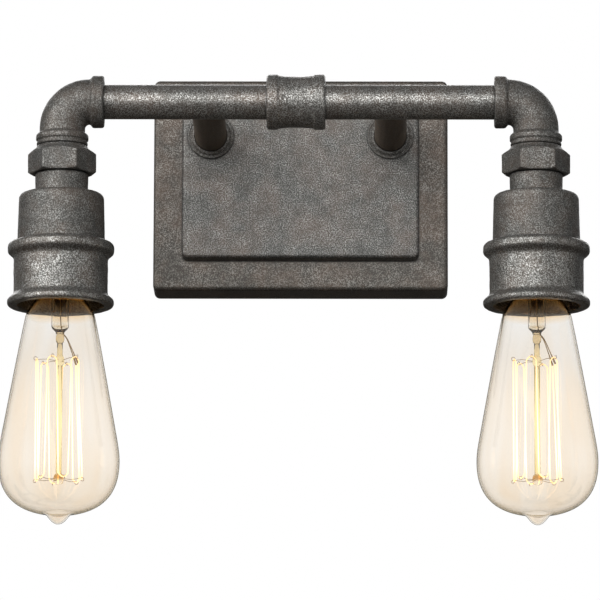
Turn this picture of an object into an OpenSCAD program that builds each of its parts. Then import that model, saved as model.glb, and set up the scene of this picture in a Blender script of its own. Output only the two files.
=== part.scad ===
// Two-lamp vanity light built from pipe fittings on a rectangular wall plate.
// Millimetres. X runs to the right and Z up. The wall is the plane y = 0, and the light
// stands out from it towards -Y. The origin is the middle of the plate's wall side.

/* [Wall plate] */
// Width of the back pan
pan_w = 160; // [140:0.25:190]
// Height of the back pan
pan_h = 116.6; // [100:0.1:150]
// Depth of the back pan, from the wall to its face
pan_d = 25; // [20:0.5:32]
// Rounding of the back pan's front edges
pan_edge = 2.4; // [1.9:0.1:2.9]
// Corner radius of the back pan, seen from the front
pan_corner = 3.2; // [3:0.1:6]
// Thickness of the pressed sheet of both pans
sheet = 1.6; // [1:0.1:1.8]
// Border of the back pan that shows round the raised panel
panel_border = 15.8; // [12:0.1:20]
// Height of the raised panel above the back pan
panel_rise = 11; // [8:0.5:16]
// Rounding of the raised panel's front edges
panel_edge = 1.9; // [1.9:0.1:2.9]

/* [Crossbar] */
// Distance between the two slots that take the outlet box screws
box_screw_spacing = 88.9; // [80:0.1:100]
// End to end length of each slot
slot_len = 16; // [10:0.5:20]
// Width of each slot
slot_w = 5; // [4.4:0.1:6]
// Width of the crossbar strap
strap_w = 22; // [18:0.5:30]
// Thickness of the crossbar strap
strap_t = 1.9; // [1.5:0.1:2.5]
// How far the crossbar's end tabs stand out from the wall
tab_d = 17.5; // [15:0.5:19]
// Width of each end tab
tab_w = 15; // [10:0.5:18]
// Diameter of the wire hole in the middle of the crossbar
wire_hole_d = 20; // [12:0.5:20]
// Place of the ground screw along the crossbar
ground_x = 24; // [20:0.5:30]
// Length of the set screws that lock the pan to the tabs
set_screw_len = 6; // [5:0.5:8]
// Diameter of the set screws
set_screw_d = 4; // [3:0.5:5]

/* [Pipework] */
// Distance from the wall to the axis of the long pipe
pipe_out = 120; // [100:1:150]
// Height of the long pipe's axis above the plate's middle
pipe_up = 24.6; // [20:0.2:28]
// Outside diameter of the long pipe
pipe_od = 18.3; // [17.6:0.1:19]
// Wall of the pipes and posts
pipe_wall = 2; // [1.5:0.1:2.5]
// Distance between the two posts
post_spacing = 97.4; // [80:0.2:100]
// Outside diameter of the posts
post_od = 17.2; // [15.5:0.1:17.4]
// Diameter of the flange round the foot of each post
flange_d = 25; // [22:0.1:28]
// Height of that flange
flange_h = 2.6; // [2:0.1:6]
// Length of the centre coupling
coupling_len = 31; // [26:0.2:40]
// Place of the centre coupling along the pipe, screwed up a little left of the middle
coupling_x = -1.6; // [-4:0.1:4]
// Width of the raised band at each end of the coupling
band_w = 6; // [4:0.1:8]
// Diameter of those bands
band_d = 29.2; // [28.8:0.1:32]
// Diameter of the coupling between its bands
coupling_d = 27.4; // [24:0.1:27.6]
// Bend radius of the elbows, on their centreline
bend_r = 14.5; // [13.5:0.1:18]
// Straight part of an elbow between its bend and its lower collar
elbow_leg = 2.2; // [0.5:0.1:4]
// Diameter of an elbow's curved body
elbow_d = 24; // [22.5:0.1:25]
// Diameter of the collar at each mouth of an elbow
collar_d = 27.7; // [26.2:0.1:30]
// Length of those collars
collar_len = 7.4; // [7:0.1:10]

/* [Lamp holders] */
// Distance between the axes of the two lamps
lamp_spacing = 250; // [230:1:300]
// Width across the flats of the hex bushing
hex_flats = 31.4; // [29:0.1:33]
// Height of the hex bushing, with its conical top
hex_h = 15; // [13:0.1:20]
// Height of that conical top
hex_cone_h = 4.5; // [3:0.1:6]
// Turn of the hex about the lamp's axis, as it was screwed up
hex_turn = 2; // [-15:1:15]
// Diameter of the neck under the hex bushing
neck_d = 28.2; // [25:0.1:29]
// Length of the neck
neck_len = 10.8; // [6:0.1:14]
// Outside diameter of the socket cup at its lower end
cup_d = 46.1; // [44.5:0.1:48]
// How much narrower the cup is at its shoulder
cup_taper = 1.2; // [0:0.1:2]
// Rounding of the cup's shoulder
shoulder_r = 2.8; // [2:0.1:6]
// Height of the cup, from its shoulder to the lower coupling
cup_h = 26.2; // [24:0.1:32]
// Wall of the cup
cup_wall = 2.6; // [2:0.1:2.8]
// Height of the lower coupling
shade_h = 34; // [30:0.1:40]
// Greatest diameter of the lower coupling's beads
bead_d = 56.1; // [54:0.1:58]
// Diameter of the lower coupling's waist
waist_d = 49.6; // [48.4:0.1:51]
// Inside diameter of the lower coupling's mouth
mouth_d = 45.6; // [45:0.1:46]
// Depth of the joint where the cup's spigot enters the lower coupling
spigot_len = 6; // [4:0.1:8]
// Wall of that spigot
spigot_wall = 1.6; // [1.2:0.1:1.8]
// Diameter of the threaded tubes that hold posts and lamp holders
nipple_od = 10; // [9.5:0.1:11]
// Bore of those tubes
nipple_bore = 7; // [6:0.1:7.5]
// Width across the flats of the lock nuts
lock_nut_flats = 14; // [13.5:0.1:16]
// Thickness of the lock nuts
lock_nut_h = 4; // [3:0.1:5]

/* [Socket] */
// Outside diameter of the porcelain socket body
socket_d = 34; // [32:0.1:35]
// Height of the socket body
socket_h = 35; // [34:0.1:37]
// Thickness of the brass screw shell
shell_t = 0.5; // [0.3:0.1:0.6]
// Depth of the screw thread of shell and cap
thread_depth = 0.7; // [0.5:0.05:0.8]
// Pitch of the screw thread of shell and cap
thread_pitch = 3.63; // [3.4:0.01:3.8]

/* [Lamp] */
// Greatest diameter of the lamp's glass
bulb_d = 63.6; // [60:0.1:66]
// Length of the glass from the cap's seam to its tip
bulb_len = 122; // [110:0.1:130]
// Thickness of the glass
glass_t = 0.9; // [0.6:0.1:1.2]
// Height of the cap's seam above the lower coupling's rim
lamp_setback = 6.5; // [4:0.1:9]
// Diameter of the cap over its thread
cap_d = 26; // [25.8:0.1:26.4]
// Height of the lamp's cap with its contact
cap_h = 25.2; // [24:0.1:26]
// Radius of the filament cage
cage_r = 12.4; // [10:0.1:14]
// Number of loops in the filament
loop_count = 6; // [4:1:8]
// Diameter of the filament thread
filament_d = 0.7; // [0.4:0.05:1]
// Diameter of the support wires
wire_d = 0.5; // [0.4:0.05:0.8]

/* [Hidden] */
$fn = 72;
LEFT = -1;
RIGHT = 1;

// Clearances
slip = 0.05;          // between pieces that fit one inside the other
screw_gap = 0.15;     // between a screw's shank and a plain hole
thread_gap = 0.3;     // between the cap's thread and the shell's
contact_gap = 0.3;    // between the lamp's tip and the spring contact
run_out = 1;          // how far a cutting tool runs past the face it cuts

// Places along Y, as distances from the wall
panel_face = pan_d + panel_rise;
post_plug = 10;       // solid foot of a post, tapped for its nipple
washer_t = 1.2;
washer_d = 1.36 * lock_nut_flats;
nipple_tail = 1.8;    // thread that shows past a lock nut

// Places along Z on a lamp's axis, from the elbow down to the glass
bend_end = pipe_up - bend_r - elbow_leg;
elbow_end = bend_end - collar_len;
hex_end = elbow_end - hex_h;
cup_top = hex_end - neck_len;
cup_end = cup_top - cup_h;
rim = cup_end - shade_h;
seam = rim + lamp_setback;
cap_tip = seam + cap_h;
socket_rim = seam + 1.5;
socket_top = socket_rim + socket_h;

pipe_r = pipe_od / 2;
pipe_bore_r = pipe_r - pipe_wall;
nipple_r = nipple_od / 2;
tap_r = nipple_r + slip;
soft = 1.1;           // rounding of cast edges
groove_depth = 0.8;   // groove round an elbow's lower collar
bead_r = bead_d / 2;
waist_r = waist_d / 2;
mouth_r = mouth_d / 2;
cup_r = cup_d / 2;
cup_bore_r = cup_r - cup_wall;
spigot_r = cup_r - spigot_wall;
spigot_bore_r = spigot_r - spigot_wall;
socket_r = socket_d / 2;
cap_r = cap_d / 2;
shell_r = cap_r + thread_gap + thread_depth + shell_t;

// Points on an arc of radius r about the centre c, from one angle to another
function arc(c, r, from, to, steps) =
    [for (i = [0:steps])
        let (a = from + (to - from) * i / steps)
        c + r * [cos(a), sin(a)]];

// Points on a cubic curve that starts at a, ends at d and leans towards b and c
function curve(a, b, c, d, steps) =
    [for (i = [0:steps])
        let (t = i / steps, u = 1 - t)
        u * u * u * a + 3 * u * u * t * b + 3 * u * t * t * c + t * t * t * d];

function unit(v) = v / norm(v);

// A profile moved inwards by t, square to its own run. Its end stays on the axis.
function inset(p, t) =
    [for (i = [0:len(p) - 1])
        let (a = p[max(i - 1, 0)], b = p[min(i + 1, len(p) - 1)], run = unit(b - a))
        i == len(p) - 1 ? [0, p[i][1] + t] : p[i] + t * [run[1], -run[0]]];

function backwards(p) = [for (i = [len(p) - 1:-1:0]) p[i]];

function after_first(p) = [for (i = [1:len(p) - 1]) p[i]];

// A round tube through the points of a path, one ring of sides at each point
module swept_wire(path, r, sides) {
    last = len(path) - 1;
    rings = [for (i = [0:last])
        let (run = unit(path[min(i + 1, last)] - path[max(i - 1, 0)]),
             side = unit(cross(run, [run[1], run[2], run[0]] + [0.3, -0.2, 0.1])),
             up = cross(side, run))
        for (k = [0:sides - 1])
            let (turn = 360 * k / sides)
            path[i] + r * (cos(turn) * side + sin(turn) * up)];
    skin = [for (i = [0:last - 1]) for (k = [0:sides - 1])
        let (a = i * sides + k, b = i * sides + (k + 1) % sides)
        each [[a, b, b + sides], [a, b + sides, a + sides]]];
    first_cap = [[for (k = [sides - 1:-1:0]) k]];
    last_cap = [[for (k = [0:sides - 1]) last * sides + k]];
    polyhedron(points = rings, faces = concat(skin, first_cap, last_cap), convexity = 10);
}

// Turns a piece drawn upwards so that it points from the wall out into the room
module out_of_wall() {
    rotate([90, 0, 0]) children();
}

// Puts a piece drawn about the Z axis on a lamp's axis
module on_lamp(side) {
    translate([side * lamp_spacing / 2, -pipe_out, 0]) children();
}

// Puts a piece drawn upwards at the foot of a post
module on_post(side) {
    translate([side * post_spacing / 2, 0, pipe_up]) out_of_wall() children();
}

module ring(r_out, r_in, h) {
    difference() {
        cylinder(r = r_out, h = h);
        translate([0, 0, -run_out]) cylinder(r = r_in, h = h + 2 * run_out);
    }
}

module hex_nut(flats, bore_r, h) {
    chamfer = flats / 12;
    corner_r = flats / 2 / cos(30);
    difference() {
        intersection() {
            cylinder(r = corner_r, h = h, $fn = 6);
            rotate_extrude()
                polygon([[0, 0], [corner_r - chamfer, 0], [corner_r, chamfer / 2],
                         [corner_r, h - chamfer / 2], [corner_r - chamfer, h], [0, h]]);
        }
        translate([0, 0, -run_out]) cylinder(r = bore_r, h = h + 2 * run_out);
    }
}

// Outline of a pan's side: x is the way out from a corner's centre, y the way up its depth
module pan_side(corner, depth, edge) {
    front_edge = arc([corner - edge, depth - edge], edge, 0, 90, 6);
    polygon(concat([[0, 0], [corner, 0]], front_edge, [[0, depth]]));
}

// A block whose upright corners and front edges are rounded
module soft_block(w, h, depth, corner, edge) {
    translate([-w / 2 + corner, -h / 2 + corner, 0]) cube([w - 2 * corner, h - 2 * corner, depth]);
    for (turn = [0:3]) {
        across = turn % 2 == 0 ? w : h;
        along = turn % 2 == 0 ? h : w;
        rotate([0, 0, 90 * turn]) translate([across / 2 - corner, along / 2 - corner, 0]) {
            rotate([90, 0, 0]) linear_extrude(along - 2 * corner) pan_side(corner, depth, edge);
            rotate_extrude(angle = 90) pan_side(corner, depth, edge);
        }
    }
}

// A pressed pan: a soft block hollowed from behind
module pan_shell(w, h, depth, corner, edge) {
    difference() {
        soft_block(w, h, depth, corner, edge);
        translate([0, 0, -run_out])
            soft_block(w - 2 * sheet, h - 2 * sheet, depth - sheet + run_out,
                       corner - sheet, edge - sheet);
    }
}

// Holes for the two post nipples through the face of a pan of this depth
module nipple_holes(depth) {
    for (side = [LEFT, RIGHT])
        translate([side * post_spacing / 2, pipe_up, depth - sheet - run_out])
            cylinder(r = nipple_r + screw_gap, h = sheet + 2 * run_out);
}

set_screw_depth = pan_d / 2;
weld_nut_d = 9;
weld_nut_h = 3;
set_screw_sink = 0.3;
tab_face = pan_w / 2 - set_screw_sink - set_screw_len;

// Back pan, open to the wall, with a weld nut inside each end for the set screws
module back_pan() color([0.28, 0.27, 0.26]) out_of_wall() difference() {
    union() {
        pan_shell(pan_w, pan_h, pan_d, pan_corner, pan_edge);
        for (side = [LEFT, RIGHT])
            translate([side * (pan_w / 2 - sheet), 0, set_screw_depth]) rotate([0, -90 * side, 0])
                cylinder(d = weld_nut_d, h = weld_nut_h);
    }
    nipple_holes(pan_d);
    for (side = [LEFT, RIGHT])
        translate([side * (pan_w / 2 + run_out), 0, set_screw_depth]) rotate([0, -90 * side, 0])
            cylinder(d = set_screw_d + 2 * slip, h = sheet + weld_nut_h + 2 * run_out);
}

// Raised panel, a second, shallower pan that stands on the face of the first
module raised_panel() color([0.31, 0.30, 0.29]) out_of_wall() translate([0, 0, pan_d]) difference() {
    pan_shell(pan_w - 2 * panel_border, pan_h - 2 * panel_border, panel_rise, pan_corner, panel_edge);
    nipple_holes(panel_rise);
}

// Outline of the crossbar seen from above: a strap with both ends bent out into tabs
module strap_outline() {
    bend = 2 * strap_t;
    x_in = tab_face - bend;
    polygon(concat(
        [[tab_face - strap_t, tab_d], [tab_face, tab_d]],
        arc([x_in, bend], bend, 0, -90, 6),
        arc([-x_in, bend], bend, -90, -180, 6),
        [[-tab_face, tab_d], [-tab_face + strap_t, tab_d]],
        arc([-x_in, bend], bend - strap_t, 180, 270, 6),
        arc([x_in, bend], bend - strap_t, -90, 0, 6)));
}

module slot(length, width, depth) {
    straight = length - width;
    for (end = [-1, 1])
        translate([end * straight / 2, 0, 0]) cylinder(d = width, h = depth);
    translate([-straight / 2, -width / 2, 0]) cube([straight, width, depth]);
}

ground_screw_d = 3.4;

// Crossbar that is screwed to the outlet box, and that carries the whole light
module mounting_bracket() color([0.72, 0.72, 0.70]) out_of_wall() difference() {
    through = strap_t + 2 * run_out;
    notch_low = 3 * strap_t;
    notch_w = (strap_w - tab_w) / 2;
    translate([0, strap_w / 2, 0]) rotate([90, 0, 0]) linear_extrude(strap_w) strap_outline();
    for (side = [LEFT, RIGHT]) {
        translate([side * box_screw_spacing / 2, 0, -run_out]) slot(slot_len, slot_w, through);
        for (edge = [-1, 1])
            translate([side * tab_face, edge * (strap_w + tab_w) / 4, notch_low + tab_d / 2])
                cube([6 * strap_t, notch_w, tab_d], center = true);
    }
    translate([0, 0, -run_out]) cylinder(d = wire_hole_d, h = through);
    translate([ground_x, 0, -run_out]) cylinder(d = ground_screw_d + 2 * slip, h = through);
}

// Green ground screw in the crossbar, with a washer head and a driver slot
module ground_screw() color([0.20, 0.45, 0.25]) translate([ground_x, 0, 0]) out_of_wall() difference() {
    head_h = 2.8;
    head_r = 3.4;
    washer_r = 4.2;
    slot_d = 1;
    union() {
        cylinder(d = ground_screw_d, h = strap_t + slip);
        translate([0, 0, strap_t])
            rotate_extrude()
                polygon([[0, 0], [washer_r, 0], [washer_r, 0.7], [head_r + 0.2, 0.9],
                         [head_r, head_h - 0.6], [head_r - 0.8, head_h], [0, head_h]]);
    }
    translate([-washer_r, -slot_d / 2, strap_t + head_h - slot_d])
        cube([2 * washer_r, slot_d, slot_d + run_out]);
}

// Headless set screws, one through each end of the back pan against the crossbar's tab
module set_screws() color([0.55, 0.55, 0.54]) {
    socket_depth = 2;
    socket_flats = set_screw_d / 2;
    for (side = [LEFT, RIGHT])
        translate([side * tab_face, -set_screw_depth, 0]) rotate([0, 90 * side, 0]) difference() {
            rotate_extrude()
                polygon([[0, 0], [set_screw_d / 2 - 0.5, 0], [set_screw_d / 2, 0.5],
                         [set_screw_d / 2, set_screw_len], [0, set_screw_len]]);
            translate([0, 0, set_screw_len - socket_depth])
                cylinder(r = socket_flats / 2 / cos(30), h = socket_depth + run_out, $fn = 6);
        }
}

// Post from the raised panel to the long pipe: its foot is tapped, its head coped to the pipe
module post(side) color([0.22, 0.20, 0.19]) difference() {
    on_post(side) difference() {
        translate([0, 0, panel_face]) cylinder(d = post_od, h = pipe_out - panel_face);
        translate([0, 0, panel_face - run_out]) cylinder(r = tap_r, h = post_plug + 2 * run_out);
        translate([0, 0, panel_face + post_plug]) cylinder(r = post_od / 2 - pipe_wall, h = pipe_out);
    }
    translate([side * post_spacing / 2 - post_od, -pipe_out, pipe_up]) rotate([0, 90, 0])
        cylinder(r = pipe_r + slip, h = 2 * post_od);
}

// Flat flange round the foot of a post: a thin raised rim, a groove, and a low ring round the post
module post_flange(side) color([0.30, 0.29, 0.28]) on_post(side) translate([0, 0, panel_face]) {
    bore_r = post_od / 2 + slip;
    rim_r = flange_d / 2;
    rim_h = flange_h - 0.9;
    rim_w = 0.8;
    bevel = 0.3;
    groove = [rim_r - rim_w - 0.2, rim_h - 0.5];
    lip = [bore_r + 0.8, flange_h];
    rotate_extrude()
        polygon(concat(
            [[bore_r, 0], [rim_r, 0], [rim_r, rim_h - bevel], [rim_r - bevel, rim_h]],
            [[rim_r - rim_w, rim_h]],
            curve(groove, groove + [-0.7, 0.1], lip + [0.9, 0], lip, 5),
            [[bore_r, flange_h]]));
}

nut_face = pan_d - sheet;
nipple_back = nut_face - washer_t - lock_nut_h - nipple_tail;

// Threaded tubes that clamp the posts to the two pans, and carry the wires through
module post_nipples() color([0.66, 0.60, 0.42]) {
    for (side = [LEFT, RIGHT])
        on_post(side) translate([0, 0, nipple_back])
            ring(nipple_r, nipple_bore / 2, panel_face + post_plug - nipple_back);
}

module post_washers() color([0.70, 0.70, 0.69]) {
    for (side = [LEFT, RIGHT])
        on_post(side) translate([0, 0, nut_face - washer_t]) ring(washer_d / 2, tap_r, washer_t);
}

module post_lock_nuts() color([0.66, 0.60, 0.42]) {
    for (side = [LEFT, RIGHT])
        on_post(side) translate([0, 0, nut_face - washer_t - lock_nut_h])
            hex_nut(lock_nut_flats, tap_r, lock_nut_h);
}

pipe_seat = lamp_spacing / 2 - bend_r;
stop_w = 2;
post_wire_hole_d = 9;

// Half of the long pipe, from an elbow to the stop in the coupling, with a wire hole at its post
module pipe(side) color([0.33, 0.32, 0.31]) {
    inner_end = side * coupling_x + stop_w / 2 + slip;
    difference() {
        translate([side * inner_end, -pipe_out, pipe_up]) rotate([0, 90 * side, 0])
            ring(pipe_r, pipe_bore_r, pipe_seat - slip - inner_end);
        on_post(side) translate([0, 0, pipe_out - pipe_r - run_out])
            cylinder(d = post_wire_hole_d, h = pipe_r + run_out);
    }
}

// Malleable coupling: a waisted body between two raised bands, and a stop for the pipes inside
module centre_coupling() color([0.32, 0.31, 0.30])
    translate([coupling_x, -pipe_out, pipe_up]) rotate([0, 90, 0]) {
        half = coupling_len / 2;
        band_r = band_d / 2;
        body_r = coupling_d / 2;
        bore_r = pipe_r + slip;
        cone = 1.7;
        corner = 0.8;
        band_foot = half - band_w;
        flank = concat(
            [[bore_r, half], [band_r - corner, half], [band_r, half - corner]],
            [[band_r, band_foot + 0.3], [band_r - 0.3, band_foot]],
            curve([band_r - 0.6, band_foot - 0.3], [body_r + 0.2, band_foot - cone],
                  [body_r, band_foot - cone], [body_r - 0.3, 0], 6));
        rotate_extrude()
            polygon(concat(flank, [for (p = backwards(flank)) if (p[1] > 0) [p[0], -p[1]]],
                [[bore_r, -stop_w / 2], [pipe_bore_r, -stop_w / 2],
                 [pipe_bore_r, stop_w / 2], [bore_r, stop_w / 2]]));
    }

// Collar at an elbow's mouth, drawn with the mouth at height 0 and the body below it. A groove,
// where there is one, parts a narrow bead at the mouth from the rest of the collar.
module collar_solid(grooved) {
    r = collar_d / 2;
    body_r = elbow_d / 2;
    bead_h = 2.5;
    groove = [[r, -bead_h - 0.7], [r - groove_depth, -bead_h - 0.2], [r - groove_depth, -bead_h + 0.1]];
    end_r = grooved ? r - 0.3 : r;
    rotate_extrude()
        polygon(concat(
            [[0, -collar_len]],
            curve([body_r, -collar_len], [body_r + 0.3, -collar_len + 0.8],
                  [r - 0.2, -collar_len + 0.9], [r, -collar_len + 2], 5),
            grooved ? groove : [],
            arc([end_r - soft, -soft], soft, grooved ? -20 : 0, 90, 4),
            [[0, 0]]));
}

// Quarter of a round ring, bent in the elbow's plane
module quarter_bend(r) {
    rotate([90, 0, 0]) rotate_extrude(angle = 90) translate([bend_r, 0]) circle(r = r);
}

// Malleable elbow: a bent body with a collar at each mouth. The upper mouth takes the long pipe,
// the lower mouth is closed but for a tapped hole.
module elbow(side) color([0.32, 0.30, 0.29]) {
    mirror([side == LEFT ? 1 : 0, 0, 0])
        translate([lamp_spacing / 2 - bend_r, -pipe_out, pipe_up - bend_r]) difference() {
            leg_end = -elbow_leg - collar_len;
            union() {
                quarter_bend(elbow_d / 2);
                translate([bend_r, 0, -elbow_leg]) cylinder(d = elbow_d, h = elbow_leg);
                translate([-collar_len, 0, bend_r]) rotate([0, -90, 0]) collar_solid(false);
                translate([bend_r, 0, leg_end]) rotate([180, 0, 0]) collar_solid(true);
            }
            quarter_bend(pipe_bore_r);
            translate([0, 0, bend_r]) rotate([0, -90, 0])
                cylinder(r = pipe_r + slip, h = collar_len + run_out);
            translate([bend_r, 0, leg_end - run_out])
                cylinder(r = tap_r, h = 2 * run_out - leg_end);
        }
}

// Hex bushing with a conical top that meets the elbow
module hex_bushing(side) color([0.31, 0.30, 0.29]) on_lamp(side) difference() {
    corner_r = hex_flats / 2 / cos(30);
    past_corner = corner_r + 0.4;
    low = 1.1;
    cone_foot = [past_corner, elbow_end - hex_cone_h];
    cone_top = [collar_d / 2 - 0.6, elbow_end];
    intersection() {
        translate([0, 0, hex_end]) rotate([0, 0, side * hex_turn])
            cylinder(r = corner_r, h = hex_h, $fn = 6);
        rotate_extrude()
            polygon(concat(
                [[0, hex_end], [corner_r - 2 * low, hex_end], [past_corner, hex_end + low]],
                curve(cone_foot, cone_foot + [-2, 1], cone_top + [0.2, -2], cone_top, 5),
                [[0, elbow_end]]));
    }
    translate([0, 0, hex_end - run_out]) cylinder(r = tap_r, h = hex_h + 2 * run_out);
}

cup_roof = 3;
cup_ceiling = cup_top - cup_roof;

// Neck and socket cup in one casting, with a spigot below that enters the lower coupling
module socket_cup(side) color([0.34, 0.33, 0.32]) on_lamp(side) {
    shoulder_out = cup_r - cup_taper / 2;
    neck_r = neck_d / 2;
    rotate_extrude()
        polygon(concat(
            [[tap_r, hex_end], [neck_r, hex_end], [neck_r - 0.3, cup_top + 0.8], [neck_r + 0.4, cup_top]],
            arc([shoulder_out - shoulder_r, cup_top - shoulder_r], shoulder_r, 90, 0, 6),
            [[cup_r, cup_end], [spigot_r, cup_end], [spigot_r, cup_end - spigot_len],
             [spigot_bore_r, cup_end - spigot_len], [spigot_bore_r, cup_end]],
            [[cup_bore_r, cup_end + cup_wall], [cup_bore_r, cup_ceiling], [tap_r, cup_ceiling]]));
}

// Lower reducer coupling: a rolled bead at top and bottom, a waist between, open below
module lower_coupling(side) color([0.29, 0.28, 0.27]) on_lamp(side) translate([0, 0, rim]) {
    top_round = 2.6;
    rim_round = 1.5;
    mouth_round = 0.8;
    bore_r = spigot_r + slip;
    step = shade_h - spigot_len - 0.5;
    top_bead = [bead_r, shade_h - 4.4];
    waist_top = [waist_r, shade_h - 9.6];
    waist_low = [waist_r - 0.1, 7.6];
    low_bead = [bead_r, 2 * rim_round];
    rotate_extrude()
        polygon(concat(
            [[bore_r, shade_h], [cup_r + 0.6, shade_h]],
            arc([bead_r - top_round, shade_h - top_round - 0.1], top_round, 80, 0, 5),
            curve(top_bead, top_bead - [0, 2.2], waist_top + [0, 3.2], waist_top, 8),
            curve(waist_low, waist_low + [0.1, -2.7], low_bead + [-1.2, 2], low_bead, 8),
            arc([bead_r - rim_round, rim_round], rim_round, -8, -90, 5),
            arc([mouth_r + mouth_round, mouth_round], mouth_round, -90, -180, 3),
            [[mouth_r, step - 2], [bore_r, step]]));
}

nipple_low = socket_top - 2;
nipple_high = elbow_end + collar_len - 0.5;

// Threaded tube that hangs a lamp holder from its elbow
module lamp_nipple(side) color([0.66, 0.60, 0.42]) on_lamp(side)
    translate([0, 0, nipple_low]) ring(nipple_r, nipple_bore / 2, nipple_high - nipple_low);

// Lock nuts that pull the cups up against the hex bushings
module socket_lock_nuts() color([0.66, 0.60, 0.42]) {
    for (side = [LEFT, RIGHT])
        on_lamp(side) translate([0, 0, cup_ceiling - lock_nut_h])
            hex_nut(lock_nut_flats, tap_r, lock_nut_h);
}

bridge_t = 1.5;
bridge_w = 10;
boss_wall = 2;
boss_h = 4.5;
bridge_screw_x = 11;
bridge_screw_d = 3;
bridge_head_d = 5.4;
bridge_screw_len = 8;

// Metal bridge across the top of the socket, tapped for the lamp nipple
module socket_bridge(side) color([0.70, 0.68, 0.62])
    on_lamp(side) translate([0, 0, socket_top]) difference() {
        union() {
            intersection() {
                translate([-socket_r, -bridge_w / 2, 0]) cube([socket_d, bridge_w, bridge_t]);
                cylinder(r = socket_r - 1.5, h = bridge_t);
            }
            cylinder(r = nipple_r + boss_wall, h = boss_h);
        }
        translate([0, 0, -run_out]) cylinder(r = tap_r, h = boss_h + 2 * run_out);
        for (x = [-1, 1])
            translate([x * bridge_screw_x, 0, -run_out])
                cylinder(d = bridge_screw_d + 2 * slip, h = bridge_t + 2 * run_out);
    }

// Screw with a slotted pan head, drawn with the underside of the head at height 0
module pan_head_screw(d, head_d, head_h, length) {
    slot_d = 0.8;
    difference() {
        rotate_extrude()
            polygon([[0, -length], [d / 2, -length], [d / 2, 0], [head_d / 2, 0],
                     [head_d / 2, head_h * 0.6], [head_d / 2 - 0.8, head_h], [0, head_h]]);
        translate([-head_d / 2, -slot_d / 2, head_h / 2]) cube([head_d, slot_d, head_h]);
    }
}

// Two screws a side that hold each bridge to its socket body
module bridge_screws() color([0.66, 0.60, 0.42]) {
    for (side = [LEFT, RIGHT]) for (x = [-1, 1])
        on_lamp(side) translate([x * bridge_screw_x, 0, socket_top + bridge_t])
            pan_head_screw(bridge_screw_d, bridge_head_d, 2, bridge_screw_len);
}

terminal_y = 11;

// Two terminal screws a side for the supply wires
module terminal_screws() color([0.72, 0.60, 0.30]) {
    for (side = [LEFT, RIGHT]) for (y = [-1, 1])
        on_lamp(side) translate([0, y * terminal_y, socket_top])
            pan_head_screw(bridge_screw_d, 6, 2.2, bridge_screw_len - 2);
}

contact_room = 3.6;     // room above the lamp's tip for the spring contact
nipple_recess = 2.5;
socket_floor = cap_tip + contact_gap + contact_room;
socket_cavity_r = shell_r + slip;

// Screw hole from the top of the socket body
module socket_screw_hole() {
    depth = bridge_screw_len + 1;
    translate([0, 0, socket_top - depth]) cylinder(d = bridge_screw_d + 2 * slip, h = depth + run_out);
}

// Porcelain socket body with a round cavity for the screw shell
module socket_body(side) color([0.90, 0.88, 0.82]) on_lamp(side) difference() {
    rotate_extrude()
        polygon(concat(
            [[0, socket_top], [socket_r - 1.5, socket_top], [socket_r, socket_top - 1.5]],
            [[socket_r, socket_rim + 1], [socket_r - 1, socket_rim], [socket_cavity_r, socket_rim],
             [socket_cavity_r, socket_floor], [0, socket_floor]]));
    for (end = [-1, 1]) {
        translate([end * bridge_screw_x, 0, 0]) socket_screw_hole();
        translate([0, end * terminal_y, 0]) socket_screw_hole();
    }
    translate([0, 0, socket_top - nipple_recess])
        cylinder(r = nipple_r + 0.4, h = nipple_recess + run_out);
}

thread_turns = 5;

// Rounded thread ridges along a wall: crest and root radii by height, from low to high
function thread_wall(r, depth, low, turns) =
    [for (i = [0:6 * turns]) [r - depth * (1 - cos(60 * i)) / 2, low + i * thread_pitch / 6]];

shell_low = socket_rim + 1.2;
shell_lip = 0.8;        // plain edge at each end of the shell

// Brass screw shell, rolled to the thread, lining the socket body
module screw_shell(side) color([0.80, 0.66, 0.32]) on_lamp(side) {
    outer = thread_wall(shell_r, thread_depth, shell_low + shell_lip, thread_turns);
    inner = [for (p = outer) p - [shell_t, 0]];
    inner_r = shell_r - shell_t;
    top = shell_low + 2 * shell_lip + thread_turns * thread_pitch;
    rotate_extrude()
        polygon(concat([[inner_r, shell_low], [shell_r, shell_low]], outer,
                       [[shell_r, top], [inner_r, top]], backwards(inner)));
}

contact_w = 6;

// Spring contact on the socket's floor: a strip bent down to meet the lamp's tip
module centre_contact(side) color([0.80, 0.66, 0.32]) on_lamp(side) {
    t = 0.5;
    foot = cap_tip + contact_gap;
    translate([0, contact_w / 2, 0]) rotate([90, 0, 0]) linear_extrude(contact_w)
        polygon([[-8, socket_floor], [-8, socket_floor - t], [-3, socket_floor - t],
                 [3, foot], [7, foot], [7, foot + t], [3.2, foot + t], [-2.8, socket_floor]]);
}

cap_t = 0.4;
neck_r = cap_r - thread_depth - cap_t - slip;
straight_top = [0.58 * bulb_d / 2, 12.5];
straight_low = [0.932 * bulb_d / 2, 0.594 * bulb_len];
belly = [bulb_d / 2, 0.727 * bulb_len];
tip_start = [9.5, bulb_len - 5.8];
tip_side = [5.8, bulb_len - 4.3];

// Outline of the pear-shaped glass: radius against the distance below the cap's seam
bulb_profile = concat(
    [[neck_r, -7]],
    curve([neck_r + 0.3, 0], [neck_r + 0.8, 3.2], straight_top - [1.2, 6], straight_top, 8),
    curve(straight_low, straight_low + [1.1, 6], belly - [0, 5], belly, 6),
    after_first(curve(belly, belly + [0, 14.5], [0.81 * bulb_d / 2, bulb_len - 8.8], tip_start, 14)),
    after_first(curve(tip_start, tip_start - [1.9, -0.15], tip_side + [0.8, -0.8], tip_side, 3)),
    after_first(curve(tip_side, tip_side + [-1.2, 1.6], [2.6, bulb_len], [0, bulb_len], 5)));

// Clear amber glass envelope with a drawn tip
module bulb_glass(side) color([0.95, 0.80, 0.55, 0.35]) on_lamp(side) {
    outer = [for (p = bulb_profile) [p[0], seam - p[1]]];
    rotate_extrude() polygon(concat(outer, backwards(inset(outer, glass_t))));
}

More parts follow.
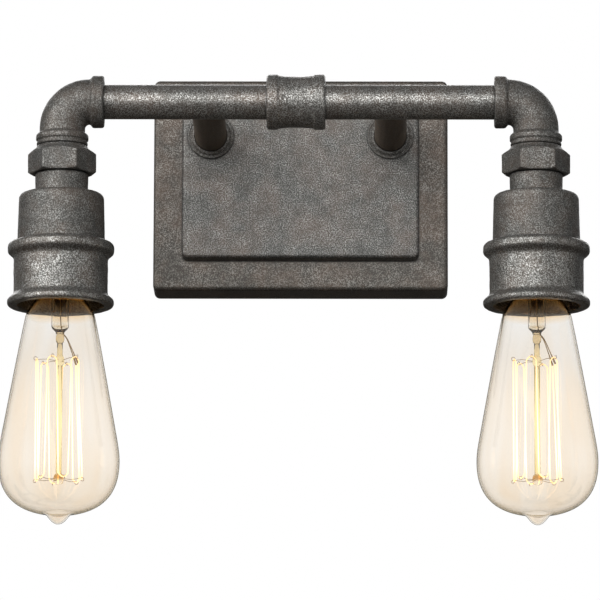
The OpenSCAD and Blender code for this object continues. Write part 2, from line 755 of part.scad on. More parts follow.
cap_low_thread = seam + 4.6;
cap_shoulder = cap_low_thread + 4 * thread_pitch;
eyelet_r = 3.4;         // hole of the insulator
button_r = 4.6;
button_low = cap_tip - 1.05;

// Screw cap of the lamp, a thin threaded shell with a plain skirt
module bulb_cap(side) color([0.80, 0.68, 0.38]) on_lamp(side) {
    crest = cap_r;
    outer = concat([[crest - 0.3, seam + 0.1], [crest - 0.3, seam + 3.6]],
        thread_wall(crest, thread_depth, cap_low_thread, 4),
        [[crest - 1.6, cap_shoulder + 1], [7.4, cap_tip - 3.2]]);
    rotate_extrude() polygon(concat(outer, backwards([for (p = outer) p - [cap_t, cap_t / 2]])));
}

// Black glass ring between the cap's shell and its centre contact
module cap_insulator(side) color([0.08, 0.08, 0.09]) on_lamp(side)
    rotate_extrude()
        polygon([[eyelet_r, cap_tip - 3.3], [6.9, cap_tip - 3.3], [6.6, cap_tip - 2.3],
                 [5.4, button_low - slip], [eyelet_r, button_low - slip]]);

// Centre contact of the lamp, a soldered button
module cap_contact(side) color([0.75, 0.74, 0.70]) on_lamp(side)
    rotate_extrude()
        polygon(concat(
            [[0, cap_tip - 3], [eyelet_r - slip, cap_tip - 3]],
            [[eyelet_r - slip, button_low], [button_r, button_low]],
            curve([button_r, button_low + slip], [button_r - 0.2, cap_tip - 0.3], [button_r / 2, cap_tip],
                  [0, cap_tip], 4)));

stem_r = 4.6;
stem_bore_r = 3.8;
rod_r = 1.5;
press_r = rod_r + 0.7;
stem_end = seam - 0.140 * bulb_len;
press_end = seam - 0.165 * bulb_len;
bead_z = seam - 0.193 * bulb_len;
upper_hub = seam - 0.290 * bulb_len;
lower_hub = seam - 0.804 * bulb_len;
hub_r = 2.4;
low_hub_r = 2.7;

// Glass bead on the rod, as points from above it to below it
function rod_bead(z, r) =
    [for (i = [0:6]) [rod_r + (r - rod_r) * sin(30 * i), z + r * cos(30 * i)]];

// Glass stem: a flare sealed in the neck, a tube, a pressed end, and a rod with beads
module glass_stem(side) color([0.95, 0.93, 0.88, 0.4]) on_lamp(side)
    rotate_extrude()
        polygon(concat(
            [[neck_r - glass_t - 0.1, seam + 3], [neck_r - glass_t - 0.4, seam + 1.6]],
            curve([neck_r - glass_t - 1.2, seam + 1], [stem_r + 1, seam - 1],
                  [stem_r, seam - 2], [stem_r, seam - 7], 5),
            curve([stem_r, stem_end], [stem_r, stem_end - 2],
                  [press_r, press_end + 1], [press_r, press_end - 1], 5),
            rod_bead(bead_z, 2.3),
            rod_bead(upper_hub, hub_r),
            rod_bead(lower_hub, low_hub_r),
            [[0, lower_hub - low_hub_r - 0.4], [0, stem_end - 0.5]],
            curve([stem_bore_r - 1, stem_end - 0.5], [stem_bore_r, stem_end],
                  [stem_bore_r, stem_end + 1], [stem_bore_r, stem_end + 3], 3),
            [[stem_bore_r, seam - 6], [stem_bore_r + 0.4, seam - 1]],
            [[neck_r - glass_t - 2, seam + 2.2], [neck_r - glass_t - 1.4, seam + 3]]));

loop_turn = 360 / loop_count;
loop_half = loop_turn / 5;
wire_r = wire_d / 2;
thread_r = filament_d / 2;
hook_over = wire_r + thread_r + slip;
hook_r = 1.1;           // bend radius of the hooks
hook_angle = 210;
loop_drop = 0.55;       // how fast a loop falls away from the top of its hook
upper_wire = upper_hub;
lower_wire = lower_hub;
first_angle = 14;       // where the two lead wires reach the cage
lead_tip_r = 0.76 * cage_r;
lead_tip_z = upper_hub - 1;
lead_tip_turn = loop_turn / 4;

function polar(r, angle, z) = [r * cos(angle), r * sin(angle), z];

// Points of one filament loop over a hook: lift is the way that the loop bends
function loop_over(angle, z, lift) =
    [for (k = [-2:2])
        polar(cage_r, angle + loop_half * k / 2, z + lift * (hook_over - loop_drop * k * k))];

function lower_angle(i) = first_angle + (i + 0.5) * loop_turn;
function upper_angle(i) = first_angle + i * loop_turn;

// Filament: one thread from lead to lead, down and up between the lower and upper hooks
module filament(side) color([1.0, 0.75, 0.35]) on_lamp(side) {
    end_z = lead_tip_z - wire_r - thread_r;
    start = polar(lead_tip_r, first_angle + lead_tip_turn, end_z);
    finish = polar(lead_tip_r, first_angle - lead_tip_turn, end_z);
    loops = [for (i = [0:loop_count - 1])
        each concat(loop_over(lower_angle(i), lower_wire, -1),
                    i == loop_count - 1 ? [] : loop_over(upper_angle(i + 1), upper_wire, 1))];
    swept_wire(concat([start], loops, [finish]), thread_r, 6);
}

// Straight arm from a glass bead on the rod, with a hook round the filament's loop
module support_wire(start, lift) {
    arm_end = cage_r + 0.4;
    mirror([0, 0, lift > 0 ? 0 : 1]) {
        translate([start, 0, 0]) rotate([0, 90, 0]) cylinder(r = wire_r, h = arm_end - start, $fn = 16);
        translate([arm_end, 0, hook_r]) rotate([90, 0, 0]) rotate([0, 0, -90])
            rotate_extrude(angle = hook_angle) translate([hook_r, 0]) circle(r = wire_r, $fn = 16);
    }
}

// Support wires: an upper and a lower set, spread round the rod
module support_wires(side) color([0.45, 0.43, 0.40]) on_lamp(side) {
    for (i = [1:loop_count - 1])
        rotate([0, 0, upper_angle(i)]) translate([0, 0, upper_wire]) support_wire(hub_r + slip, 1);
    for (i = [0:loop_count - 1])
        rotate([0, 0, lower_angle(i)]) translate([0, 0, lower_wire]) support_wire(low_hub_r + slip, -1);
}

// Two lead wires: from the cap down the stem, out of its pressed end and on to the filament's ends
module lead_wires(side) color([0.45, 0.42, 0.36]) on_lamp(side) {
    midway = (lead_tip_r + 4) / 2;
    for (end = [-1, 1])
        swept_wire([[0, end * 1.5, seam + 12], [0, end * 1.5, stem_end + 2],
                    [0.6, end * 1.2, press_end], [2.6, end * 1.3, press_end - 2.4],
                    [3.6, end * 1.4, press_end - 3.2],
                    polar(midway, first_angle + end * lead_tip_turn, (lead_tip_z + press_end - 3) / 2),
                    polar(lead_tip_r, first_angle + end * lead_tip_turn, lead_tip_z)], wire_r, 6);
}

mounting_bracket();
ground_screw();
set_screws();
back_pan();
raised_panel();
post(LEFT);  // left_post
post(RIGHT);  // right_post
post_flange(LEFT);  // left_post_flange
post_flange(RIGHT);  // right_post_flange
post_nipples();
post_washers();
post_lock_nuts();
pipe(LEFT);  // left_pipe
pipe(RIGHT);  // right_pipe
centre_coupling();
elbow(LEFT);  // left_elbow
elbow(RIGHT);  // right_elbow
hex_bushing(LEFT);  // left_hex_bushing
hex_bushing(RIGHT);  // right_hex_bushing
socket_cup(LEFT);  // left_socket_cup
socket_cup(RIGHT);  // right_socket_cup
lower_coupling(LEFT);  // left_lower_coupling
lower_coupling(RIGHT);  // right_lower_coupling
lamp_nipple(LEFT);  // left_lamp_nipple
lamp_nipple(RIGHT);  // right_lamp_nipple
socket_lock_nuts();
socket_bridge(LEFT);  // left_socket_bridge
socket_bridge(RIGHT);  // right_socket_bridge
bridge_screws();
terminal_screws();
socket_body(LEFT);  // left_socket_body
socket_body(RIGHT);  // right_socket_body
screw_shell(LEFT);  // left_screw_shell
screw_shell(RIGHT);  // right_screw_shell
centre_contact(LEFT);  // left_centre_contact
centre_contact(RIGHT);  // right_centre_contact
bulb_glass(LEFT);  // left_bulb_glass
bulb_glass(RIGHT);  // right_bulb_glass
bulb_cap(LEFT);  // left_bulb_cap
bulb_cap(RIGHT);  // right_bulb_cap
cap_insulator(LEFT);  // left_cap_insulator
cap_insulator(RIGHT);  // right_cap_insulator
cap_contact(LEFT);  // left_cap_contact
cap_contact(RIGHT);  // right_cap_contact
glass_stem(LEFT);  // left_glass_stem
glass_stem(RIGHT);  // right_glass_stem
lead_wires(LEFT);  // left_lead_wires
lead_wires(RIGHT);  // right_lead_wires
support_wires(LEFT);  // left_support_wires
support_wires(RIGHT);  // right_support_wires
filament(LEFT);  // left_filament
filament(RIGHT);  // right_filament
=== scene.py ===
# %% [markdown]
# # A two-lamp vanity light made of pipe fittings
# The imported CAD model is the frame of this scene. Each CAD node keeps its place and its size, and the
# cells below give it a finish, or put a finer piece in its place: the cast fittings, the lamps with
# their filaments, and the threads. Lengths are in metres, and `mm` turns millimetres into metres.

# %% Load the CAD frame
import math
import bpy
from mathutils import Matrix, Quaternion, Vector


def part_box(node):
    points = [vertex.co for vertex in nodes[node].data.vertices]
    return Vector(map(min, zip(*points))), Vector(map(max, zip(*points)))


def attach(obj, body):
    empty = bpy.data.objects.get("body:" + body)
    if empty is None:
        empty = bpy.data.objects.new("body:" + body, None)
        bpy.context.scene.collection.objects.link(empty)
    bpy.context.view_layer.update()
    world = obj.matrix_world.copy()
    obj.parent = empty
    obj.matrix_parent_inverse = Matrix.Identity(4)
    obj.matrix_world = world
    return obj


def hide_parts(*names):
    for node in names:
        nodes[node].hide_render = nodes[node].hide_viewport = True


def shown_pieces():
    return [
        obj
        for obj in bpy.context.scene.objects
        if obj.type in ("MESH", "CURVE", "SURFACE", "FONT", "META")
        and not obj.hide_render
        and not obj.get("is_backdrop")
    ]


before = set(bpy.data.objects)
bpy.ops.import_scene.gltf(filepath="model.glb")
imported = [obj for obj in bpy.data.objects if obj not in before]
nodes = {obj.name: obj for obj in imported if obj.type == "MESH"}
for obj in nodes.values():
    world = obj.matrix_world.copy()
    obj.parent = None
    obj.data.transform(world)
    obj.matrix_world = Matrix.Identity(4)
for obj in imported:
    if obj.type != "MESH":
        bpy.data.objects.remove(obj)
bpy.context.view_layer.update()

mm = 0.001

# %% [markdown]
# Each lamp stands upright, and all its pieces are placed round its own axis. The boxes of the CAD nodes
# give both axes, and the camera and the soft boxes aim at the plane in which they lie.

# %% Measure the axes


def middle(node):
    low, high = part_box(node)
    return (low + high) / 2


lamp_axis = {side: middle(f"{side}_bulb_glass") for side in ("left", "right")}
print("lamps at x =", [round(axis.x / mm, 2) for axis in lamp_axis.values()])

# %% [markdown]
# ## Camera and studio
# The photograph was taken from a little below the light and from far away, so its lines hardly
# converge. A long lens three metres from the lamps gives the same flat look.

# %% Set the camera
view_elevation = math.radians(-10.8)
view_turn = math.radians(0.6)
view_roll = math.radians(0.18)
camera_distance = 3.0
focal_length = 342.9
aim = Vector((0.8 * mm, lamp_axis["left"].y, -81.8 * mm))
away = Vector((math.sin(view_turn) * math.cos(view_elevation),
               -math.cos(view_turn) * math.cos(view_elevation),
               math.sin(view_elevation)))
bpy.ops.object.camera_add(location=aim + away * camera_distance)
camera = bpy.context.object
camera.name = "camera"
camera.rotation_mode = "QUATERNION"
camera.rotation_quaternion = Quaternion(away, view_roll) @ (-away).to_track_quat("-Z", "Y")
camera.data.sensor_width = 36
camera.data.lens = focal_length
camera.data.clip_end = 50
bpy.context.scene.camera = camera
print("camera at", [round(c, 3) for c in camera.location])

# %% [markdown]
# The light hangs in front of plain white. The world is white to the camera and through glass. Where it
# lights the object or is mirrored in it, it is a much darker grey, so the white behind the object
# doesn't wash it out and round castings keep their dark sides.

# %% Make the world
room_tint = (0.94, 0.97, 1, 1)
room_strength = 0.125


def set_inputs(node, values):
    """Gives input sockets of a node their values, by name."""
    for name, value in values.items():
        node.inputs[name].default_value = value
    return node


def add(tree, kind, values=None):
    """A new node of this kind, with these values in its input sockets."""
    return set_inputs(tree.nodes.new(kind), values or {})


def wire(tree, start, start_socket, end, end_socket):
    tree.links.new(start.outputs[start_socket], end.inputs[end_socket])


def seen_directly(tree):
    """A node that gives 1 where the camera looks, also through glass, and 0 to light and to mirrors."""
    path = add(tree, "ShaderNodeLightPath")
    either = add(tree, "ShaderNodeMath")
    either.operation = "MAXIMUM"
    wire(tree, path, "Is Camera Ray", either, 0)
    wire(tree, path, "Is Transmission Ray", either, 1)
    return either


world = bpy.data.worlds.new("studio")
bpy.context.scene.world = world
world.use_nodes = True
tree = world.node_tree
tree.nodes.clear()
seen = add(tree, "ShaderNodeBackground", {"Color": (1, 1, 1, 1), "Strength": 1})
lighting = add(tree, "ShaderNodeBackground", {"Color": room_tint, "Strength": room_strength})
mix = add(tree, "ShaderNodeMixShader")
out = add(tree, "ShaderNodeOutputWorld")
wire(tree, seen_directly(tree), 0, mix, 0)
wire(tree, lighting, 0, mix, 1)
wire(tree, seen, 0, mix, 2)
wire(tree, mix, 0, out, 0)
bpy.context.scene.view_settings.view_transform = "Standard"
print("world ready")

# %% [markdown]
# A wall light has no table under it, so the floor is the floor of the room, well below. It is pale and
# plain where it is seen. To light it is nearly black: it throws little back up, and the undersides of
# pipe, panel and pan stay as dark as they are in the photograph.

# %% Lay the floor
floor_drop = 1.6
floor_size = 24
floor_bounce = (0.055, 0.048, 0.040)
floor_tone = (0.80, 0.80, 0.79)


def fresh(name):
    """A new material, with its node tree and its shader."""
    material = bpy.data.materials.new(name)
    material.use_nodes = True
    tree = material.node_tree
    return material, tree, tree.nodes["Principled BSDF"]


def feed(tree, value, socket):
    """Fills an input with a number, a colour, or a node's output, given as (node, socket)."""
    if not isinstance(value, tuple):
        socket.default_value = value
    elif isinstance(value[0], bpy.types.Node):
        tree.links.new(value[0].outputs[value[1]], socket)
    else:
        socket.default_value = (*value, 1)


def mixed(tree, factor, a, b, blend="MIX"):
    """A colour mix. Factor, a and b are whatever `feed` takes."""
    node = add(tree, "ShaderNodeMix")
    node.data_type = "RGBA"
    node.blend_type = blend
    feed(tree, factor, node.inputs["Factor"])
    feed(tree, a, node.inputs[6])
    feed(tree, b, node.inputs[7])
    return node


bpy.ops.object.select_all(action="DESELECT")
bpy.ops.mesh.primitive_plane_add(size=floor_size, location=(0, 0, -floor_drop))
floor = bpy.context.object
floor.name = "floor"
floor_paint, tree, shader = fresh("floor_paint")
set_inputs(shader, {"Roughness": 0.9})
tone = mixed(tree, (seen_directly(tree), 0), floor_bounce, floor_tone)
wire(tree, tone, 2, shader, "Base Color")
floor.data.materials.append(floor_paint)
floor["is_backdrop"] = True
print("floor", floor_size, "m across,", floor_drop, "m below the wall plate")

# %% [markdown]
# Five soft boxes light the object. The key box is wide and hangs in front and above: it draws the bright
# band along the pipe. The front box, at the light's own height, lifts the plate and the cups. The back
# box keeps the far side readable, and two small ones open up the left and right flanks.

# %% Hang the soft boxes
lit_point = Vector((0, lamp_axis["left"].y, -0.05))


def soft_box(name, place, size, watts):
    """A rectangular light that faces the lit point. Its size is its width and its height, in metres."""
    bpy.ops.object.light_add(type="AREA", location=place)
    lamp = bpy.context.object
    lamp.name = name
    lamp.data.shape = "RECTANGLE"
    lamp.data.size, lamp.data.size_y = size
    lamp.data.energy = watts
    lamp.rotation_mode = "QUATERNION"
    lamp.rotation_quaternion = (lit_point - Vector(place)).to_track_quat("-Z", "Y")
    return lamp


front_boxes = [soft_box("key_box", (-1.15, -2.1, 1.0), (4.6, 1.3), watts=106),
               soft_box("front_box", (-0.3, -2.7, 0.12), (2.4, 0.6), watts=20)]
other_boxes = [soft_box("back_box", (0, 2.0, 1.1), (3.0, 0.9), watts=38),
               soft_box("left_box", (-0.8, -0.75, 0.1), (0.25, 0.6), watts=2.2),
               soft_box("right_box", (2.1, -1.3, 0.1), (0.6, 1.4), watts=12)]
boxes = front_boxes + other_boxes
print("lights:", [box.name for box in boxes])

# %% [markdown]
# The boxes are kept off the floor further down, because they would light it unevenly. A ceiling light
# that reaches nothing but the floor keeps it evenly pale, and draws the object's soft shadow on it.

# %% Light the floor
ceiling_height = 3
ceiling_strength = 3.1
ceiling_spread = math.radians(12)
bpy.ops.object.light_add(type="SUN", location=(0, 0, ceiling_height))
ceiling = bpy.context.object
ceiling.name = "ceiling"
ceiling.data.angle = ceiling_spread
ceiling.data.energy = ceiling_strength
floor_only = bpy.data.collections.new("floor_only")
floor_only.objects.link(floor)
ceiling.light_linking.receiver_collection = floor_only

# %% [markdown]
# ## Finishes
# No part here has one even colour. Every finish is made of noises, each at its real size in the
# object's own coordinates, and of colour ramps that turn a noise into a colour, a gloss or a height.

# %% Helpers for noises and ramps


def ramp(tree, source, socket, stops):
    """A colour ramp over a node's output. Stops are pairs of a place from 0 to 1 and a grey or colour."""
    node = add(tree, "ShaderNodeValToRGB")
    elements = node.color_ramp.elements
    while len(elements) < len(stops):
        elements.new(0.5)
    for element, (place, colour) in zip(elements, stops):
        element.position = place
        element.color = (colour,) * 3 + (1,) if isinstance(colour, (int, float)) else (*colour, 1)
    wire(tree, source, socket, node, "Fac")
    return node


def noise(tree, coords, feature, detail=2, roughness=0.5, socket="Object"):
    """Noise whose features are about this long, in metres."""
    node = add(tree, "ShaderNodeTexNoise", {"Scale": 1 / feature, "Detail": detail, "Roughness": roughness})
    wire(tree, coords, socket, node, "Vector")
    return node


def stretched_noise(tree, coords, stretch, feature, detail):
    """Noise drawn out along the axes for which stretch is small."""
    mapping = add(tree, "ShaderNodeMapping", {"Scale": stretch})
    wire(tree, coords, "Object", mapping, "Vector")
    return noise(tree, mapping, feature, detail, socket="Vector")


def bumped(tree, height, socket, strength, depth):
    """A bump of this depth, in metres, from a node's output."""
    node = add(tree, "ShaderNodeBump", {"Strength": strength, "Distance": depth})
    wire(tree, height, socket, node, "Height")
    return node


# %% [markdown]
# The iron parts are coated to look like old zinc: a dark, slightly brown ground with a dense grain of
# silver flecks. The finest noise, under a millimetre, switches between ground and fleck. A middle one
# makes areas where the flecks lie thicker, and a coarse one shifts the ground between grey and rust
# brown. Flecks are barer metal than the ground, and a little glossier. Two bumps follow: lumps left by
# the sand mould, and pits at the size of the grain.
#
# Handling changes such a coat. Edges are worn bright, and made lighter still by a painted highlight where a
# rounded edge would catch the light: where a rounded normal differs from the flat one, there is an edge.
# Crevices get painted shade: where other faces crowd in, Ambient Occlusion darkens the colour.

# %% Helpers for the weathered coat
grain_size = 0.62 * mm
area_size = 7 * mm
cloud_size = 16 * mm
lump_size = 4.5 * mm
lump_depth = 0.5 * mm
pit_depth = 0.16 * mm
# Edge wear and a painted highlight: edges within this radius take the fleck colour.
edge_wear_and_highlight_radius = 0.7 * mm
# Painted shade in crevices: how far Ambient Occlusion looks, and how dark it paints.
crevice_shade_reach = 1.6 * mm
crevice_shade_tone = 0.3


def math_node(tree, operation, a, b):
    """a and b are whatever `feed` takes."""
    node = add(tree, "ShaderNodeMath")
    node.operation = operation
    feed(tree, a, node.inputs[0])
    feed(tree, b, node.inputs[1])
    return node


def edge_mask(tree, radius):
    """1 on edges, 0 on flats: how far the normal of a rounded edge leans from the true one."""
    bevel = add(tree, "ShaderNodeBevel", {"Radius": radius})
    bevel.samples = 4
    true = add(tree, "ShaderNodeNewGeometry")
    dot = add(tree, "ShaderNodeVectorMath")
    dot.operation = "DOT_PRODUCT"
    wire(tree, bevel, 0, dot, 0)
    wire(tree, true, "Normal", dot, 1)
    return bevel, ramp(tree, dot, "Value", [(0.80, 1.0), (0.995, 0.0)])


def crevices(tree, reach, darkest):
    """Painted shade: 1 on open faces, down to the darkest value where other faces crowd in."""
    shade = add(tree, "ShaderNodeAmbientOcclusion", {"Distance": reach})
    shade.samples = 8
    return ramp(tree, shade, "AO", [(0.45, darkest), (0.92, 1.0)])


def weathered(name, ground, rust, fleck, amount, rough, lumps, edge_wear_and_highlight):
    """The coat. Amount is how thick the flecks lie; the last argument is how bright the edges are, from
    wear and a painted highlight.
    """
    material, tree, shader = fresh(name)
    coords = add(tree, "ShaderNodeTexCoord")
    grain = noise(tree, coords, grain_size, detail=2, roughness=0.6)
    clouds = noise(tree, coords, cloud_size, detail=4, roughness=0.6)
    areas = noise(tree, coords, area_size, detail=3, roughness=0.6)
    cast = noise(tree, coords, lump_size, detail=2, roughness=0.55)

    tint = ramp(tree, clouds, "Fac", [(0.40, ground), (0.66, rust)])
    specks = ramp(tree, grain, "Fac", [(0.46, 0.0), (0.64, 1.0)])
    thick = ramp(tree, areas, "Fac", [(0.30, 0.35 * amount), (0.70, amount)])
    mask = math_node(tree, "MULTIPLY", (specks, "Color"), (thick, "Color"))
    bevel, edges = edge_mask(tree, edge_wear_and_highlight_radius)
    # Edges take the fleck colour: partly wear, partly a painted highlight.
    edge_wear_and_highlight_mask = math_node(tree, "MULTIPLY", (edges, "Color"), edge_wear_and_highlight)
    flecks = math_node(tree, "MAXIMUM", (mask, 0), (edge_wear_and_highlight_mask, 0))

    coat = mixed(tree, (flecks, 0), (tint, "Color"), fleck)
    # Painted shade darkens the colour where other faces crowd in.
    painted_crevice_shade = crevices(tree, crevice_shade_reach, crevice_shade_tone)
    colour = mixed(tree, 1, (coat, 2), (painted_crevice_shade, "Color"), blend="MULTIPLY")
    wire(tree, colour, 2, shader, "Base Color")
    metal = ramp(tree, flecks, 0, [(0.0, 0.55), (1.0, 0.9)])
    wire(tree, metal, "Color", shader, "Metallic")
    gloss = ramp(tree, flecks, 0, [(0.0, rough), (1.0, 0.75 * rough)])
    wire(tree, gloss, "Color", shader, "Roughness")

    waves = bumped(tree, cast, "Fac", lumps, lump_depth)
    wire(tree, bevel, 0, waves, "Normal")
    pits = bumped(tree, grain, "Fac", 1.0, pit_depth)
    wire(tree, waves, 0, pits, "Normal")
    wire(tree, pits, 0, shader, "Normal")
    return material


# %% [markdown]
# The same coat looks different from part to part. The long pipe and its coupling are burnished, the
# lower couplings worn by hands that change lamps, and the other castings matt. Pan and panel are sheet,
# so they have hardly any lumps. The posts are plain tube, oiled brown.

# %% Mix six coats
burnished = weathered("burnished_zinc", ground=(0.056, 0.052, 0.046), rust=(0.078, 0.060, 0.048),
                      fleck=(0.53, 0.53, 0.51), amount=0.95, rough=0.44, lumps=0.3, edge_wear_and_highlight=0.4)
worn = weathered("worn_zinc", ground=(0.048, 0.046, 0.041), rust=(0.066, 0.053, 0.043),
                 fleck=(0.45, 0.45, 0.43), amount=0.85, rough=0.48, lumps=0.3, edge_wear_and_highlight=0.4)
matt = weathered("matt_zinc", ground=(0.044, 0.042, 0.038), rust=(0.065, 0.051, 0.041),
                 fleck=(0.33, 0.33, 0.315), amount=0.75, rough=0.62, lumps=0.25, edge_wear_and_highlight=0.45)
panel_coat = weathered("panel_zinc", ground=(0.036, 0.035, 0.032), rust=(0.060, 0.047, 0.039),
                       fleck=(0.34, 0.34, 0.325), amount=0.70, rough=0.52, lumps=0.08, edge_wear_and_highlight=0.35)
pan_coat = weathered("pan_zinc", ground=(0.036, 0.032, 0.027), rust=(0.063, 0.046, 0.035),
                     fleck=(0.26, 0.25, 0.23), amount=0.65, rough=0.55, lumps=0.08, edge_wear_and_highlight=0.35)
oiled = weathered("oiled_post", ground=(0.112, 0.086, 0.064), rust=(0.140, 0.101, 0.071),
                  fleck=(0.20, 0.175, 0.142), amount=0.5, rough=0.58, lumps=0.15, edge_wear_and_highlight=0.1)
print("coats:", [coat.name for coat in (burnished, worn, matt, panel_coat, pan_coat, oiled)])

# %% [markdown]
# The metal parts inside and behind get plain workshop finishes: zinc-plated sheet, turned and rolled
# brass, steel, solder, drawn wire, and a green ground screw. Each has fine streaks from its making, a
# slow stain and a slightly uneven gloss.

# %% Plate and turn the metals
stain_size = 6 * mm
streak_depth = 0.04 * mm


def metal_finish(name, colour, rough, streak, stretch=(1, 1, 1), metallic=1.0):
    """Bare metal with streaks of this size, drawn out along the axes for which stretch is small."""
    material, tree, shader = fresh(name)
    coords = add(tree, "ShaderNodeTexCoord")
    grain = stretched_noise(tree, coords, stretch, streak, detail=3)
    stain = noise(tree, coords, stain_size, detail=3)
    stained = ramp(tree, stain, "Fac", [(0.40, 0.0), (0.65, 1.0)])
    dull = tuple(0.72 * c for c in colour)
    wire(tree, mixed(tree, (stained, "Color"), colour, dull), 2, shader, "Base Color")
    set_inputs(shader, {"Metallic": metallic})
    gloss = ramp(tree, grain, "Fac", [(0.3, rough - 0.08), (0.7, rough + 0.10)])
    wire(tree, gloss, "Color", shader, "Roughness")
    wire(tree, bumped(tree, grain, "Fac", 0.25, streak_depth), 0, shader, "Normal")
    return material


zinc_plate = metal_finish("zinc_plate", (0.58, 0.58, 0.55), 0.38, 0.9 * mm, (0.15, 1, 1))
steel = metal_finish("steel_screw", (0.36, 0.36, 0.35), 0.36, 0.5 * mm)
green = metal_finish("green_screw", (0.05, 0.22, 0.09), 0.34, 0.5 * mm, metallic=0.6)
brass = metal_finish("turned_brass", (0.60, 0.46, 0.20), 0.32, 0.4 * mm, (1, 1, 0.2))
shell_brass = metal_finish("rolled_brass", (0.72, 0.53, 0.21), 0.27, 0.5 * mm)
cap_brass = metal_finish("cap_brass", (0.74, 0.56, 0.26), 0.26, 0.5 * mm)
solder = metal_finish("solder", (0.55, 0.55, 0.53), 0.42, 0.7 * mm)
nickel = metal_finish("nickel_wire", (0.50, 0.36, 0.20), 0.45, 0.4 * mm, metallic=0.5)
print("metals ready")

# %% [markdown]
# The socket's body is glazed porcelain, and the insulator in the lamp's cap is black glass. Both have a
# faint mottle under an even, glossy coat.

# %% Glaze the insulators
mottle_size = 2.5 * mm
mottle_depth = 0.1 * mm


def glazed(name, colour, shade, gloss):
    material, tree, shader = fresh(name)
    mottle = noise(tree, add(tree, "ShaderNodeTexCoord"), mottle_size, detail=3)
    mottled = ramp(tree, mottle, "Fac", [(0.4, 0.0), (0.65, 1.0)])
    wire(tree, mixed(tree, (mottled, "Color"), colour, shade), 2, shader, "Base Color")
    uneven = ramp(tree, mottle, "Fac", [(0.3, gloss), (0.7, gloss + 0.1)])
    wire(tree, uneven, "Color", shader, "Roughness")
    set_inputs(shader, {"Coat Weight": 0.4, "Coat Roughness": 0.08})
    wire(tree, bumped(tree, mottle, "Fac", 0.15, mottle_depth), 0, shader, "Normal")
    return material


porcelain = glazed("porcelain", (0.80, 0.77, 0.70), (0.72, 0.68, 0.60), 0.18)
black_glass = glazed("black_glass", (0.012, 0.012, 0.014), (0.02, 0.02, 0.022), 0.12)
print("glazes ready")

# %% [markdown]
# The lamp's glass is clear with an amber tint. Looking along the wall of a bulb, the eye goes through
# more tinted glass than looking straight through it, so the rim is olive brown and the middle cream.
# Layer Weight tells how squarely the surface faces the eye, and drives that tint. The tint also runs
# in faint upright streaks, where the glass was drawn, and changes from the tip to the seam: warm at the
# bottom, cream at the belly, and neutral and a little smoky up the neck. The amber in the holder's mouth
# is a painted warm glow of the filament's light there.

# %% Tint the glass
streak_stretch = (1, 1, 0.12)
glass_streak = 14 * mm
middle_tint = (1.0, 0.970, 0.925)
streak_tint = (0.992, 0.935, 0.855)
rim_tint = (0.38, 0.28, 0.13)
# The last stop, amber in the holder's mouth, is a painted warm glow of the filament's light.
tint_and_glow_along = [(0.10, (0.950, 0.925, 0.890)), (0.30, (1.0, 0.99, 0.98)), (0.52, (0.998, 0.983, 0.965)),
              (0.74, (0.945, 0.950, 0.960)), (0.895, (0.950, 0.970, 1.0)), (0.945, (0.93, 0.68, 0.36))]


def along_lamp(tree, stops):
    """A ramp over the lamp's length, from the tip of the glass (0) to the seam with the cap (1)."""
    coords = add(tree, "ShaderNodeTexCoord")
    parts = add(tree, "ShaderNodeSeparateXYZ")
    wire(tree, coords, "Object", parts, "Vector")
    share = add(tree, "ShaderNodeMapRange", {"From Min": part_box("left_bulb_glass")[0].z,
                                             "From Max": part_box("left_bulb_cap")[0].z})
    wire(tree, parts, "Z", share, "Value")
    return ramp(tree, share, "Result", stops)


def see_through(name, ior):
    """Clear glass that bends light by this much. It mirrors little, as glass in even white light does."""
    material, tree, shader = fresh(name)
    set_inputs(shader, {"Transmission Weight": 1, "Roughness": 0, "IOR": ior, "Specular IOR Level": 0.12})
    return material, tree, shader


amber_glass, tree, shader = see_through("amber_glass", ior=1.47)
waves = stretched_noise(tree, add(tree, "ShaderNodeTexCoord"), streak_stretch, glass_streak, detail=1)
body = ramp(tree, waves, "Fac", [(0.42, middle_tint), (0.60, streak_tint)])
shaded = mixed(tree, 1, (body, "Color"), (along_lamp(tree, tint_and_glow_along), "Color"), blend="MULTIPLY")
facing = add(tree, "ShaderNodeLayerWeight", {"Blend": 0.5})
rim = ramp(tree, facing, "Facing", [(0.60, 0.0), (0.74, 0.22), (0.86, 1.0)])
wire(tree, mixed(tree, (rim, "Color"), (shaded, 2), rim_tint), 2, shader, "Base Color")
print("bulb glass ready")

# %% [markdown]
# The stem is clearer glass. Its rod is yellow with painted glow: a tint and a faint emission stand in for
# the light of the filament beside it. Its lowest bead is brown where the hook wires sit in it, with a faint
# painted glow as well. The thread itself burns low. It is hottest, nearly cream, low in the cage,
# orange where the lower hooks touch it, and tan at the top, where leads and hooks draw the heat off.

# %% Light the stem and the filament
yellow, brown, clear = (1.0, 0.93, 0.66), (0.50, 0.31, 0.13), (0.97, 0.94, 0.88)
# The rod's yellow is painted glow of the filament's light; the lowest bead's brown is the wires set in it.
stem_tints_and_glow = [(0.190, clear), (0.198, brown), (0.212, brown), (0.222, yellow), (0.68, yellow),
              (0.79, (0.80, 0.66, 0.42)), (0.83, (0.74, 0.60, 0.38)), (0.87, clear)]
# Painted glow: a faint emission along the rod and the lowest bead, for the filament's light on them.
stem_painted_glow = [(0.19, 0.0), (0.20, (0.30, 0.15, 0.03)), (0.23, (0.42, 0.34, 0.12)),
              (0.66, (0.30, 0.24, 0.09)), (0.76, 0.02), (1.0, 0.0)]
thread_heat = [(0.20, (1.0, 0.70, 0.34)), (0.26, (1.0, 0.90, 0.66)), (0.42, (1.0, 0.86, 0.58)),
               (0.66, (0.80, 0.62, 0.36)), (0.72, (0.62, 0.42, 0.20))]

